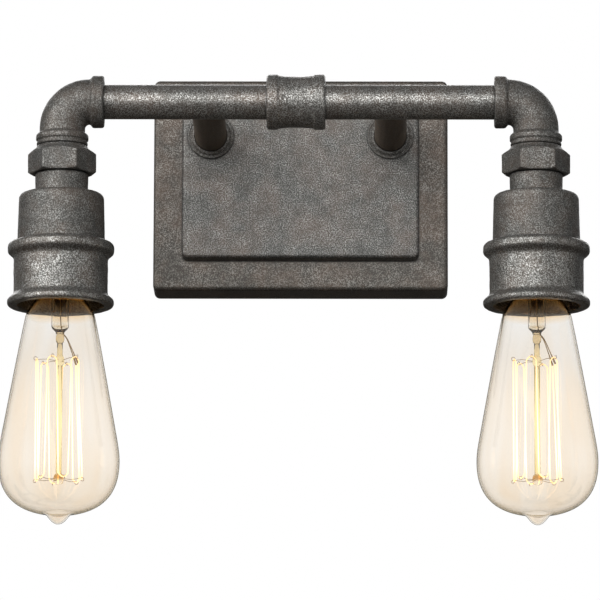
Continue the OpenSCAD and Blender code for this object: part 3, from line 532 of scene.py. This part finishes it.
clear_glass, tree, shader = see_through("stem_glass", ior=1.3)
wire(tree, along_lamp(tree, stem_tints_and_glow), "Color", shader, "Base Color")
wire(tree, along_lamp(tree, stem_painted_glow), "Color", shader, "Emission Color")
set_inputs(shader, {"Emission Strength": 0.25})

glow, tree, shader = fresh("glowing_filament")
wire(tree, along_lamp(tree, thread_heat), "Color", shader, "Emission Color")
set_inputs(shader, {"Emission Strength": 1.9, "Base Color": (0.9, 0.6, 0.3, 1)})
print("stem and glow ready")

# %% [markdown]
# Each CAD node now gets its finish. The names say what a node is, so one table sorts them all.

# %% Dress the CAD nodes
finish_of = {
    "pan": pan_coat, "panel": panel_coat, "bracket": zinc_plate, "ground_screw": green,
    "set_screws": steel, "left_post": oiled, "right_post": oiled, "flange": matt, "post_nipples": brass,
    "washers": zinc_plate, "lock_nuts": brass,
    "pipe": burnished, "centre_coupling": burnished, "lower_coupling": worn, "elbow": matt,
    "bushing": matt, "cup": matt,
    "lamp_nipple": brass, "bridge": zinc_plate, "bridge_screws": steel, "terminal_screws": shell_brass,
    "socket_body": porcelain, "screw_shell": shell_brass, "centre_contact": shell_brass,
    "bulb_glass": amber_glass, "bulb_cap": cap_brass, "cap_insulator": black_glass,
    "cap_contact": solder, "glass_stem": clear_glass, "lead_wires": nickel, "support_wires": nickel,
    "filament": glow,
}


def finish_for(name):
    """The finish of the longest table name that the node's name ends with."""
    matches = [key for key in finish_of if name.endswith(key)]
    return finish_of[max(matches, key=len)]


for name, node in nodes.items():
    node.data.materials.clear()
    node.data.materials.append(finish_for(name))
print("dressed", len(nodes), "nodes")

# %% [markdown]
# ## Tools for modelling
# The lamps and the castings are remade finer than the CAD nodes. Whatever the way, a piece ends alike:
# its origin at zero, smooth shading up to its real creases, one finish, and a place on a body.

# %% Helpers for every piece


def deselect():
    if bpy.context.object and bpy.context.object.mode != "OBJECT":
        bpy.ops.object.mode_set(mode="OBJECT")
    bpy.ops.object.select_all(action="DESELECT")


def make_active(piece):
    deselect()
    piece.select_set(True)
    bpy.context.view_layer.objects.active = piece


def modified(piece, kind, **settings):
    """Adds a modifier with these settings and applies it."""
    make_active(piece)
    modifier = piece.modifiers.new(kind.lower(), kind)
    for key, value in settings.items():
        setattr(modifier, key, value)
    bpy.ops.object.modifier_apply(modifier=modifier.name)
    return piece


def keep(piece, body, finish, slot, *cad_nodes, crease=50):
    """Finishes a piece that rides on a body and stands for these CAD nodes."""
    make_active(piece)
    bpy.ops.object.transform_apply(location=True, rotation=True, scale=True)
    bpy.ops.object.shade_smooth_by_angle(angle=math.radians(crease))
    piece.data.materials.clear()
    piece.data.materials.append(finish)
    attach(piece, body)
    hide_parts(*cad_nodes)
    print(piece.name, len(piece.data.polygons), "faces")
    return piece


# %% [markdown]
# Blown glass, the stem and rolled shells are round. They are made as on a lathe: one ring is drawn,
# pulled along the axis and widened or narrowed, again and again. A Screw modifier could turn a drawn
# line just as well, but rings given by radius and height can be read off the real object one by one.

# %% Helpers for turned pieces


def turned(name, axis, rings, sides=96, capped=False, closed=True):
    """A shape turned about an upright axis, from rings (radius, z) given in order.

    Capped fills the first ring with a face, and closed pulls the last one together to a point.
    """
    deselect()
    radius, z = rings[0]
    fill = "NGON" if capped else "NOTHING"
    bpy.ops.mesh.primitive_circle_add(vertices=sides, radius=radius, fill_type=fill,
                                      location=(axis.x, axis.y, z))
    piece = bpy.context.object
    piece.name = name
    bpy.ops.object.transform_apply(location=True, rotation=True, scale=True)
    bpy.ops.object.mode_set(mode="EDIT")
    bpy.ops.mesh.select_all(action="SELECT")
    for next_radius, next_z in rings[1:]:
        bpy.ops.mesh.extrude_region_move(TRANSFORM_OT_translate={"value": (0, 0, next_z - z)})
        share = next_radius / radius
        bpy.ops.transform.resize(value=(share, share, 1), center_override=(axis.x, axis.y, next_z))
        radius, z = next_radius, next_z
    if closed:
        bpy.ops.mesh.merge(type="CENTER")
    bpy.ops.mesh.select_all(action="SELECT")
    bpy.ops.mesh.normals_make_consistent(inside=False)
    bpy.ops.object.mode_set(mode="OBJECT")
    return piece


def curved(a, b, c, d, steps):
    """Points on a cubic curve from a to d that leans towards b and c."""
    points = []
    for i in range(steps + 1):
        t = i / steps
        u = 1 - t
        points.append(tuple(u ** 3 * p + 3 * u * u * t * q + 3 * u * t * t * r + t ** 3 * s
                            for p, q, r, s in zip(a, b, c, d)))
    return points


# %% [markdown]
# ## The lamps
# A pear-shaped lamp is blown into a mould, so its glass is one smooth skin, straight-sided at the neck,
# full at the belly, nearly flat below, with a small drawn tip where the air was pumped out. A sphere
# pulled into shape would lose the straight sides, so the outline is a chain of curves that run into
# each other. It is turned as a surface first, and then gets its wall inwards.

# %% Blow the glass
glass_wall = 0.9 * mm
neck_radius = 11.85 * mm
neck_above_seam = 7 * mm
seam_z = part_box("left_bulb_cap")[0].z
tip_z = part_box("left_bulb_glass")[0].z
belly_radius = (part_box("left_bulb_glass")[1].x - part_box("left_bulb_glass")[0].x) / 2
glass_length = seam_z - tip_z
straight_top = (0.58 * belly_radius, 12.5 * mm)
straight_low = (0.932 * belly_radius, 0.594 * glass_length)
belly = (belly_radius, 0.727 * glass_length)
tip_start = (9.5 * mm, glass_length - 5.8 * mm)
tip_side = (5.8 * mm, glass_length - 4.3 * mm)
needle = 0.15 * mm


def shifted(point, out, down):
    """A point of the outline moved by millimetres, as a handle for a curve."""
    return (point[0] + out * mm, point[1] + down * mm)


def glass_outline():
    """Radius and distance below the seam, from the neck down to the tip."""
    bottom = (0.81 * belly_radius, glass_length - 8.8 * mm)
    end = (needle, glass_length)
    neck = curved((neck_radius + 0.3 * mm, 0), (neck_radius + 0.8 * mm, 3.2 * mm),
                  shifted(straight_top, -1.2, -6), straight_top, 14)
    flank = curved(straight_top, shifted(straight_top, 3.2, 15.5), shifted(straight_low, -2.9, -15.9),
                   straight_low, 12)
    full = curved(straight_low, shifted(straight_low, 1.1, 6), shifted(belly, 0, -5), belly, 10)
    below = curved(belly, shifted(belly, 0, 14.5), bottom, tip_start, 26)
    hollow = curved(tip_start, shifted(tip_start, -1.9, 0.15), shifted(tip_side, 0.8, -0.8), tip_side, 5)
    tip = curved(tip_side, shifted(tip_side, -1.2, 1.6), (2.6 * mm, glass_length), end, 8)
    return ([(neck_radius, -neck_above_seam)] + neck
            + flank[1:] + full[1:] + below[1:] + hollow[1:] + tip[1:])


for side, axis in lamp_axis.items():
    rings = [(radius, seam_z - down) for radius, down in glass_outline()]
    skin = turned(f"{side}_lamp_glass", axis, rings, sides=128)
    modified(skin, "SOLIDIFY", thickness=glass_wall, offset=-1, use_even_offset=True)
    keep(skin, f"{side}_lamp", amber_glass, "amber_glass", f"{side}_bulb_glass", crease=70)

# %% [markdown]
# Inside the glass a stem holds everything: a flare melted into the neck, a tube, a pressed end through
# which the two lead wires pass, and a glass rod with beads. It is all one piece of melted glass, so it
# is turned in one go rather than joined from tubes and spheres. The pressed end is pinched flat while
# it is hot, so the turned tube is squeezed in depth at the same place.

# %% Draw the stem
stem_low, stem_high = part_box("left_glass_stem")
stem_radius = 4.6 * mm
stem_wall = 0.8 * mm
rod_radius = 1.5 * mm
press_radius = rod_radius + 0.7 * mm
press_depth = 0.72
stem_end = seam_z - 0.140 * glass_length
press_end = seam_z - 0.165 * glass_length
bead_places = {seam_z - 0.193 * glass_length: 2.3 * mm, seam_z - 0.290 * glass_length: 2.4 * mm,
               seam_z - 0.804 * glass_length: 2.7 * mm}
lower_hub, upper_hub = sorted(bead_places)[:2]
flare_radius = neck_radius - glass_wall - 0.1 * mm


def bead_rings(z, radius, steps=10):
    """A melted bead round the rod, from its top to its bottom."""
    turns = [math.pi * i / steps for i in range(steps + 1)]
    return [(rod_radius + (radius - rod_radius) * math.sin(turn), z + radius * math.cos(turn))
            for turn in turns]


def stem_rings():
    """From the closed end of the tube's bore, up to the flare, and down outside to the rod's tip."""
    inner = stem_radius - stem_wall
    bore_end = stem_end - 0.5 * mm
    rings = [(needle, bore_end)]
    rings += curved((inner - 1 * mm, bore_end), (inner, stem_end), (inner, stem_end + 1 * mm),
                    (inner, stem_end + 3 * mm), 6)
    rings += [(inner, seam_z - 6 * mm)]
    rings += curved((inner, seam_z - 3 * mm), (inner + 0.6 * mm, seam_z),
                    (flare_radius - 2 * mm, seam_z + 1.6 * mm), (flare_radius - 0.8 * mm, stem_high.z), 8)
    rings += curved((flare_radius, stem_high.z), (flare_radius - 0.6 * mm, seam_z + 0.6 * mm),
                    (stem_radius + 0.8 * mm, seam_z), (stem_radius, seam_z - 3 * mm), 8)
    rings += [(stem_radius, seam_z - 8 * mm)]
    rings += curved((stem_radius, stem_end), (stem_radius, stem_end - 2 * mm),
                    (press_radius, press_end + 1 * mm), (press_radius, press_end - 1 * mm), 8)
    for z, radius in bead_places.items():
        rings += bead_rings(z, radius)
    return rings + [(0.5 * rod_radius, stem_low.z + 0.15 * mm), (needle, stem_low.z)]


def squeeze(piece, axis, low, high, share):
    """Presses the vertices between two heights towards the axis, front to back."""
    make_active(piece)
    for vertex in piece.data.vertices:
        vertex.select = low < vertex.co.z < high
    bpy.ops.object.mode_set(mode="EDIT")
    bpy.ops.transform.resize(value=(1, share, 1), center_override=(axis.x, axis.y, (low + high) / 2))
    bpy.ops.object.mode_set(mode="OBJECT")


for side, axis in lamp_axis.items():
    stem = turned(f"{side}_lamp_stem", axis, stem_rings(), sides=48, capped=True)
    squeeze(stem, axis, press_end + 0.2 * mm, stem_end - 0.8 * mm, press_depth)
    keep(stem, f"{side}_lamp", clear_glass, "clear_glass", f"{side}_glass_stem", crease=70)

# %% [markdown]
# The filament is one long thread. It starts at one lead wire, runs down and up the cage over hooked
# support wires, and ends at the other lead. A lathe can't make it, so it is a curve with a round
# section, made into a mesh. Its path is a row of straight lines with short bends over the hooks.

# %% String the filament
cage_radius = 12.4 * mm
loop_count = 6
thread_radius = 0.31 * mm
support_radius = 0.25 * mm
hook_gap = 0.05 * mm
bend_drop = 0.24 * mm
bend_steps = 3
first_angle = math.radians(14)
loop_turn = 2 * math.pi / loop_count
loop_half = loop_turn / 5
lead_reach = 0.76 * cage_radius
lead_drop = 1.0 * mm


def joined(name, parts):
    deselect()
    for part in parts:
        part.select_set(True)
    bpy.context.view_layer.objects.active = parts[0]
    if len(parts) > 1:
        bpy.ops.object.join()
    parts[0].name = name
    return parts[0]


def wire_piece(name, paths, radius, smooth_path=True):
    """Round wires through these paths, as one mesh. A path is a list of points or of (point, thickness)."""
    made = []
    for path_points in paths:
        deselect()
        bpy.ops.curve.primitive_nurbs_path_add(location=(0, 0, 0))
        strand = bpy.context.object
        spline = strand.data.splines[0]
        spline.points.add(len(path_points) - len(spline.points))
        for point, place in zip(spline.points, path_points):
            place, point.radius = place if isinstance(place, tuple) else (place, 1)
            point.co = (*place, 1)
        spline.type = "NURBS" if smooth_path else "POLY"
        strand.data.resolution_u = 8
        strand.data.bevel_depth = radius
        strand.data.bevel_resolution = 3
        strand.data.use_fill_caps = True
        bpy.ops.object.convert(target="MESH")
        made.append(bpy.context.object)
    return joined(name, made)


def round_axis(axis, radius, angle, z):
    return Vector((axis.x + radius * math.cos(angle), axis.y + radius * math.sin(angle), z))


def upper_angle(i):
    return first_angle + i * loop_turn


def lower_angle(i):
    return first_angle + (i + 0.5) * loop_turn


def bend_over(axis, angle, z, lift):
    """The thread where it turns over a hook. Lift is 1 at the top of the cage and -1 at its bottom."""
    over = support_radius + thread_radius + hook_gap
    return [round_axis(axis, cage_radius, angle + loop_half * k / bend_steps,
                       z + lift * (over - bend_drop * k * k))
            for k in range(-bend_steps, bend_steps + 1)]


def thread_path(axis):
    """The filament from lead to lead, down and up the cage and over every hook."""
    end_z = upper_hub - lead_drop - support_radius - thread_radius
    points = [round_axis(axis, lead_reach, first_angle + loop_turn / 4, end_z)]
    for i in range(loop_count):
        points += bend_over(axis, lower_angle(i), lower_hub, -1)
        if i < loop_count - 1:
            points += bend_over(axis, upper_angle(i + 1), upper_hub, 1)
    return points + [round_axis(axis, lead_reach, first_angle - loop_turn / 4, end_z)]


for side, axis in lamp_axis.items():
    thread = wire_piece(f"{side}_lamp_filament", [thread_path(axis)], thread_radius, smooth_path=False)
    keep(thread, f"{side}_lamp", glow, "glowing_filament", f"{side}_filament")

# %% [markdown]
# Support wires are stuck into the soft beads of the rod, five above and six below. Each reaches out to
# the cage in a slight bow and is bent by hand round the thread, so it ends in a small curl. A smooth
# curve through a few points gives both the bow and the curl.

# %% Bend the support wires
hook_radius = 0.14 * mm
curl_radius = 1.0 * mm
curl_lift = 0.6 * mm
curl_steps = 8
upper_reach = 2.2 * mm
lower_reach = 2.5 * mm


def hook_path(axis, angle, z, hub, lift):
    """From a glass bead out to the cage, up a little on the way, and a curl round the thread."""
    points = [round_axis(axis, hub, angle, z),
              round_axis(axis, 0.35 * cage_radius, angle, z + lift * 0.1 * mm),
              round_axis(axis, 0.6 * cage_radius, angle - 0.05, z + lift * 0.9 * mm),
              round_axis(axis, 0.85 * cage_radius, angle + 0.03, z + lift * 0.2 * mm)]
    for i in range(curl_steps + 1):
        around = math.radians(-90 + 360 / curl_steps * i)
        points.append(round_axis(axis, cage_radius + curl_lift + curl_radius * math.cos(around),
                                 angle + 0.012 * i,
                                 z + lift * (curl_radius * math.sin(around) + curl_lift)))
    return points


for side, axis in lamp_axis.items():
    uppers = [hook_path(axis, upper_angle(i), upper_hub, upper_reach, 1) for i in range(1, loop_count)]
    lowers = [hook_path(axis, lower_angle(i), lower_hub, lower_reach, -1) for i in range(loop_count)]
    hooks = wire_piece(f"{side}_lamp_supports", uppers + lowers, hook_radius)
    keep(hooks, f"{side}_lamp", nickel, "nickel_wire", f"{side}_support_wires")

# %% [markdown]
# The two lead wires come down the tube, pass the pressed end, spread, and end in small sleeves that
# are crimped round the filament's ends. Wire and sleeve are one curve that grows thicker at its end.

# %% Lay the lead wires
sleeve_growth = 1.9


def lead_path(axis, end):
    """One lead wire. End is -1 for the front one and 1 for the one behind it."""

    def place(out, back, z):
        return Vector((axis.x + out * mm, axis.y + end * back * mm, z))

    tip = round_axis(axis, lead_reach, first_angle + end * loop_turn / 4, upper_hub - lead_drop)
    spread = place(3.6, 1.6, press_end - 3.0 * mm)
    before = spread.lerp(tip, 0.72)
    wire_points = [place(0, 1.5, seam_z + 12 * mm), place(0, 1.5, seam_z), place(0, 1.5, stem_end + 3 * mm),
                   place(0.6, 1.2, press_end), place(2.4, 1.4, press_end - 2.0 * mm),
                   spread, spread.lerp(tip, 0.4), before]
    sleeve_points = [before.lerp(tip, 0.1), tip, tip + (tip - before) * 0.12]
    return [(point, 1) for point in wire_points] + [(point, sleeve_growth) for point in sleeve_points]


for side, axis in lamp_axis.items():
    leads = wire_piece(f"{side}_lamp_leads", [lead_path(axis, -1), lead_path(axis, 1)], support_radius)
    keep(leads, f"{side}_lamp", nickel, "nickel_wire", f"{side}_lead_wires")

# %% [markdown]
# Cap and socket shell are brass sheet rolled between threaded wheels, so the thread is a soft wave in a
# thin wall and climbs 3.63 mm a turn. Rings, as in the CAD model, would not climb, and a bump would
# leave the outline straight. So one pitch of the wave is drawn as a line of vertices, the Screw
# modifier winds it into a helix, and Solidify gives it the thickness of the sheet.
#
# Three windings of the drawn pitch make a tube of four pitches. That is one winding less than cap and
# shell have room for, so a strip of brass is missing above the thread, and a short wedge where the
# helix starts. Both are out of sight in the holder, and show when a lamp is drawn out.

# %% Roll the threads
thread_pitch = 3.63 * mm
thread_depth = 0.7 * mm
thread_pitches = 4
wave_steps = 12
helix_steps = 64


def rolled_thread(name, axis, radius, low, wall):
    """A threaded tube that starts at this height and rises one pitch per turn."""
    deselect()
    bpy.ops.mesh.primitive_plane_add(size=mm, location=(0, 0, 0))
    tube = bpy.context.object
    tube.name = name
    bpy.ops.object.mode_set(mode="EDIT")
    bpy.ops.mesh.select_all(action="SELECT")
    bpy.ops.mesh.merge(type="CENTER")
    bpy.ops.transform.translate(value=(radius, 0, 0))
    last = 0
    for i in range(1, wave_steps + 1):
        dip = -thread_depth / 2 * (1 - math.cos(2 * math.pi * i / wave_steps))
        step = (dip - last, 0, thread_pitch / wave_steps)
        bpy.ops.mesh.extrude_region_move(TRANSFORM_OT_translate={"value": step})
        last = dip
    bpy.ops.object.mode_set(mode="OBJECT")
    modified(tube, "SCREW", axis="Z", angle=2 * math.pi, screw_offset=thread_pitch,
             iterations=thread_pitches - 1, steps=helix_steps, render_steps=helix_steps,
             use_merge_vertices=True, merge_threshold=0.01 * mm)
    bpy.ops.object.mode_set(mode="EDIT")
    bpy.ops.mesh.select_all(action="SELECT")
    bpy.ops.mesh.normals_make_consistent(inside=False)
    bpy.ops.object.mode_set(mode="OBJECT")
    modified(tube, "SOLIDIFY", thickness=wall, offset=-1, use_even_offset=True)
    tube.location = (axis.x, axis.y, low)
    return tube


def rolled_sheet(name, axis, rings, wall):
    """An open turned sheet: drawn by its outer face, with the wall inwards."""
    sheet = turned(name, axis, rings, closed=False)
    return modified(sheet, "SOLIDIFY", thickness=wall, offset=-1, use_even_offset=True)


# %% [markdown]
# The cap has a plain skirt where it meets the glass, the thread, and a shoulder that closes in on the
# black insulator. Skirt and shoulder are turned, and made one piece with the rolled thread.

# %% Shape the caps
cap_radius = 13.0 * mm
cap_wall = 0.4 * mm
cap_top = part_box("left_bulb_cap")[1].z
cap_thread_low = seam_z + 3.6 * mm
skirt_radius = cap_radius - 0.3 * mm
pitches_to_shoulder = 5
shoulder_z = cap_thread_low + pitches_to_shoulder * thread_pitch


def cap_parts(axis):
    skirt = [(skirt_radius, seam_z), (skirt_radius, cap_thread_low + 1.2 * mm),
             (skirt_radius - 0.5 * mm, cap_thread_low + 1.9 * mm)]
    shoulder = [(cap_radius - thread_depth, shoulder_z - 2.6 * mm),
                (cap_radius - 1.6 * mm, shoulder_z - 0.9 * mm), (7.4 * mm, cap_top)]
    return [rolled_thread("cap_thread", axis, cap_radius, cap_thread_low, cap_wall),
            rolled_sheet("cap_skirt", axis, skirt, cap_wall),
            rolled_sheet("cap_shoulder", axis, shoulder, cap_wall)]


# %% [markdown]
# The socket's shell is the cap's counterpart, a little wider, with the same wave in it and a plain band
# at each end. Both sides then get a cap, which moves with the lamp, and a shell, which stays in the
# holder.

# %% Make the caps and the socket shells
thread_gap = 0.3 * mm
shell_wall = 0.5 * mm
shell_radius = cap_radius + thread_gap + thread_depth + shell_wall
band_radius = shell_radius - thread_depth / 2
shell_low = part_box("left_screw_shell")[0].z


def shell_parts(axis, shell_high):
    lip = [(band_radius, shell_low), (band_radius, shell_low + 1.4 * mm)]
    top = [(band_radius, shell_high - 1.9 * mm), (band_radius, shell_high)]
    return [rolled_thread("shell_thread", axis, shell_radius, shell_low + 0.4 * mm, shell_wall),
            rolled_sheet("shell_lip", axis, lip, shell_wall),
            rolled_sheet("shell_top", axis, top, shell_wall)]


for side, axis in lamp_axis.items():
    cap = joined(f"{side}_lamp_cap", cap_parts(axis))
    keep(cap, f"{side}_lamp", cap_brass, "cap_brass", f"{side}_bulb_cap")
    shell = joined(f"{side}_socket_shell", shell_parts(axis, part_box(f"{side}_screw_shell")[1].z))
    keep(shell, "fixture", shell_brass, "socket_brass", f"{side}_screw_shell")

# %% [markdown]
# ## The castings
# Elbows, couplings, bushings, cups and flanges are malleable iron cast in sand: no edge is sharp, and
# the skin is a little lumpy under its coat. A bump alone would leave the outlines machined. So each is
# cast again over its CAD node: Remesh turns the shape into an even skin with cells of a quarter to half
# a millimetre, Smooth rubs its edges soft, and a slow noise dents it by a tenth of a millimetre or two.
# The table gives each kind of casting its cell in millimetres, its rounds of smoothing and the depth
# of its dents in millimetres. The thin flanges get less of everything than the coarse castings.

# %% Cast the fittings
skins = {"centre_coupling": (0.30, 2, 0.45), "elbow": (0.38, 3, 0.30), "hex_bushing": (0.36, 2, 0.2),
         "socket_cup": (0.45, 3, 0.2), "lower_coupling": (0.42, 2, 0.3), "post_flange": (0.25, 1, 0.1)}
lumps = bpy.data.textures.new("cast_lumps", "CLOUDS")
lumps.noise_scale = 4.2 * mm
lumps.noise_depth = 2


def cast_skin(name, source, cell, softening, dents):
    """A copy of a CAD node with an even skin, soft edges and shallow dents."""
    deselect()
    piece = bpy.data.objects.new(name, source.data.copy())
    bpy.context.scene.collection.objects.link(piece)
    piece.matrix_world = source.matrix_world
    make_active(piece)
    bpy.ops.object.transform_apply(location=True, rotation=True, scale=True)
    bpy.ops.object.mode_set(mode="EDIT")
    bpy.ops.mesh.select_all(action="SELECT")
    bpy.ops.mesh.remove_doubles(threshold=0.01 * mm)
    bpy.ops.mesh.normals_make_consistent(inside=False)
    bpy.ops.object.mode_set(mode="OBJECT")
    modified(piece, "REMESH", mode="VOXEL", voxel_size=cell)
    modified(piece, "SMOOTH", factor=0.5, iterations=softening)
    modified(piece, "DISPLACE", texture=lumps, texture_coords="LOCAL", strength=dents, mid_level=0.5)
    return piece


for fitting, (cell, softening, dents) in skins.items():
    for node_name in sorted(name for name in nodes if name.endswith(fitting)):
        skin = cast_skin(f"{node_name}_casting", nodes[node_name], cell * mm, softening, dents * mm)
        keep(skin, "fixture", finish_for(node_name), "weathered_iron", node_name, crease=60)

# %% [markdown]
# ## Where the light goes
# A clear bulb would mirror the soft boxes as hard white patches, which the photograph hasn't got. So the
# boxes light everything but the glass, and the glass shows only the room and what is inside it. The
# floor has its own light and is left out too.
#
# The photograph shows no shadow of the pipe on the plate, and only a thin one under the panel: its
# lights were larger than these. So pipe, coupling and panel don't stand in the way of the front boxes.

# %% Choose what the boxes light and what shades it
shadowless = ("left_pipe", "right_pipe", "centre_coupling_casting", "raised_panel")
receivers = bpy.data.collections.new("lit_by_boxes")
blockers = bpy.data.collections.new("shade_the_key")
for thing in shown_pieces():
    finishes = [slot.material for slot in thing.material_slots]
    if amber_glass not in finishes and clear_glass not in finishes:
        receivers.objects.link(thing)
    if thing.name not in shadowless:
        blockers.objects.link(thing)
for box in boxes:
    box.light_linking.receiver_collection = receivers
for box in front_boxes:
    box.light_linking.blocker_collection = blockers

# %% [markdown]
# The lamps burn low, so their warm light shows only close by, on the brass and the porcelain above
# them. A small lamp at the top of each bulb gives it to these pieces alone, and the glass doesn't shade
# it. The holder's mouth round them stays dark.

# %% Let the filaments light the sockets
ember_drop = 10 * mm
ember_size = 5 * mm
ember_colour = (1.0, 0.50, 0.16)
ember_watts = 0.05
near_the_glow = ("cap", "shell", "socket_body", "contact", "bridge")

lit_from_below = bpy.data.collections.new("lit_by_filaments")
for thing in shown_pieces():
    if any(word in thing.name for word in near_the_glow):
        lit_from_below.objects.link(thing)
for side, axis in lamp_axis.items():
    bpy.ops.object.light_add(type="POINT", location=(axis.x, axis.y, seam_z - ember_drop))
    ember = bpy.context.object
    ember.name = f"{side}_ember"
    ember.data.shadow_soft_size = ember_size
    ember.data.color = ember_colour
    ember.data.energy = ember_watts
    ember.visible_camera = ember.visible_glossy = ember.visible_transmission = False
    ember.light_linking.receiver_collection = lit_from_below
    ember.light_linking.blocker_collection = receivers
    print(ember.name, "at z =", round(ember.location.z / mm, 1))
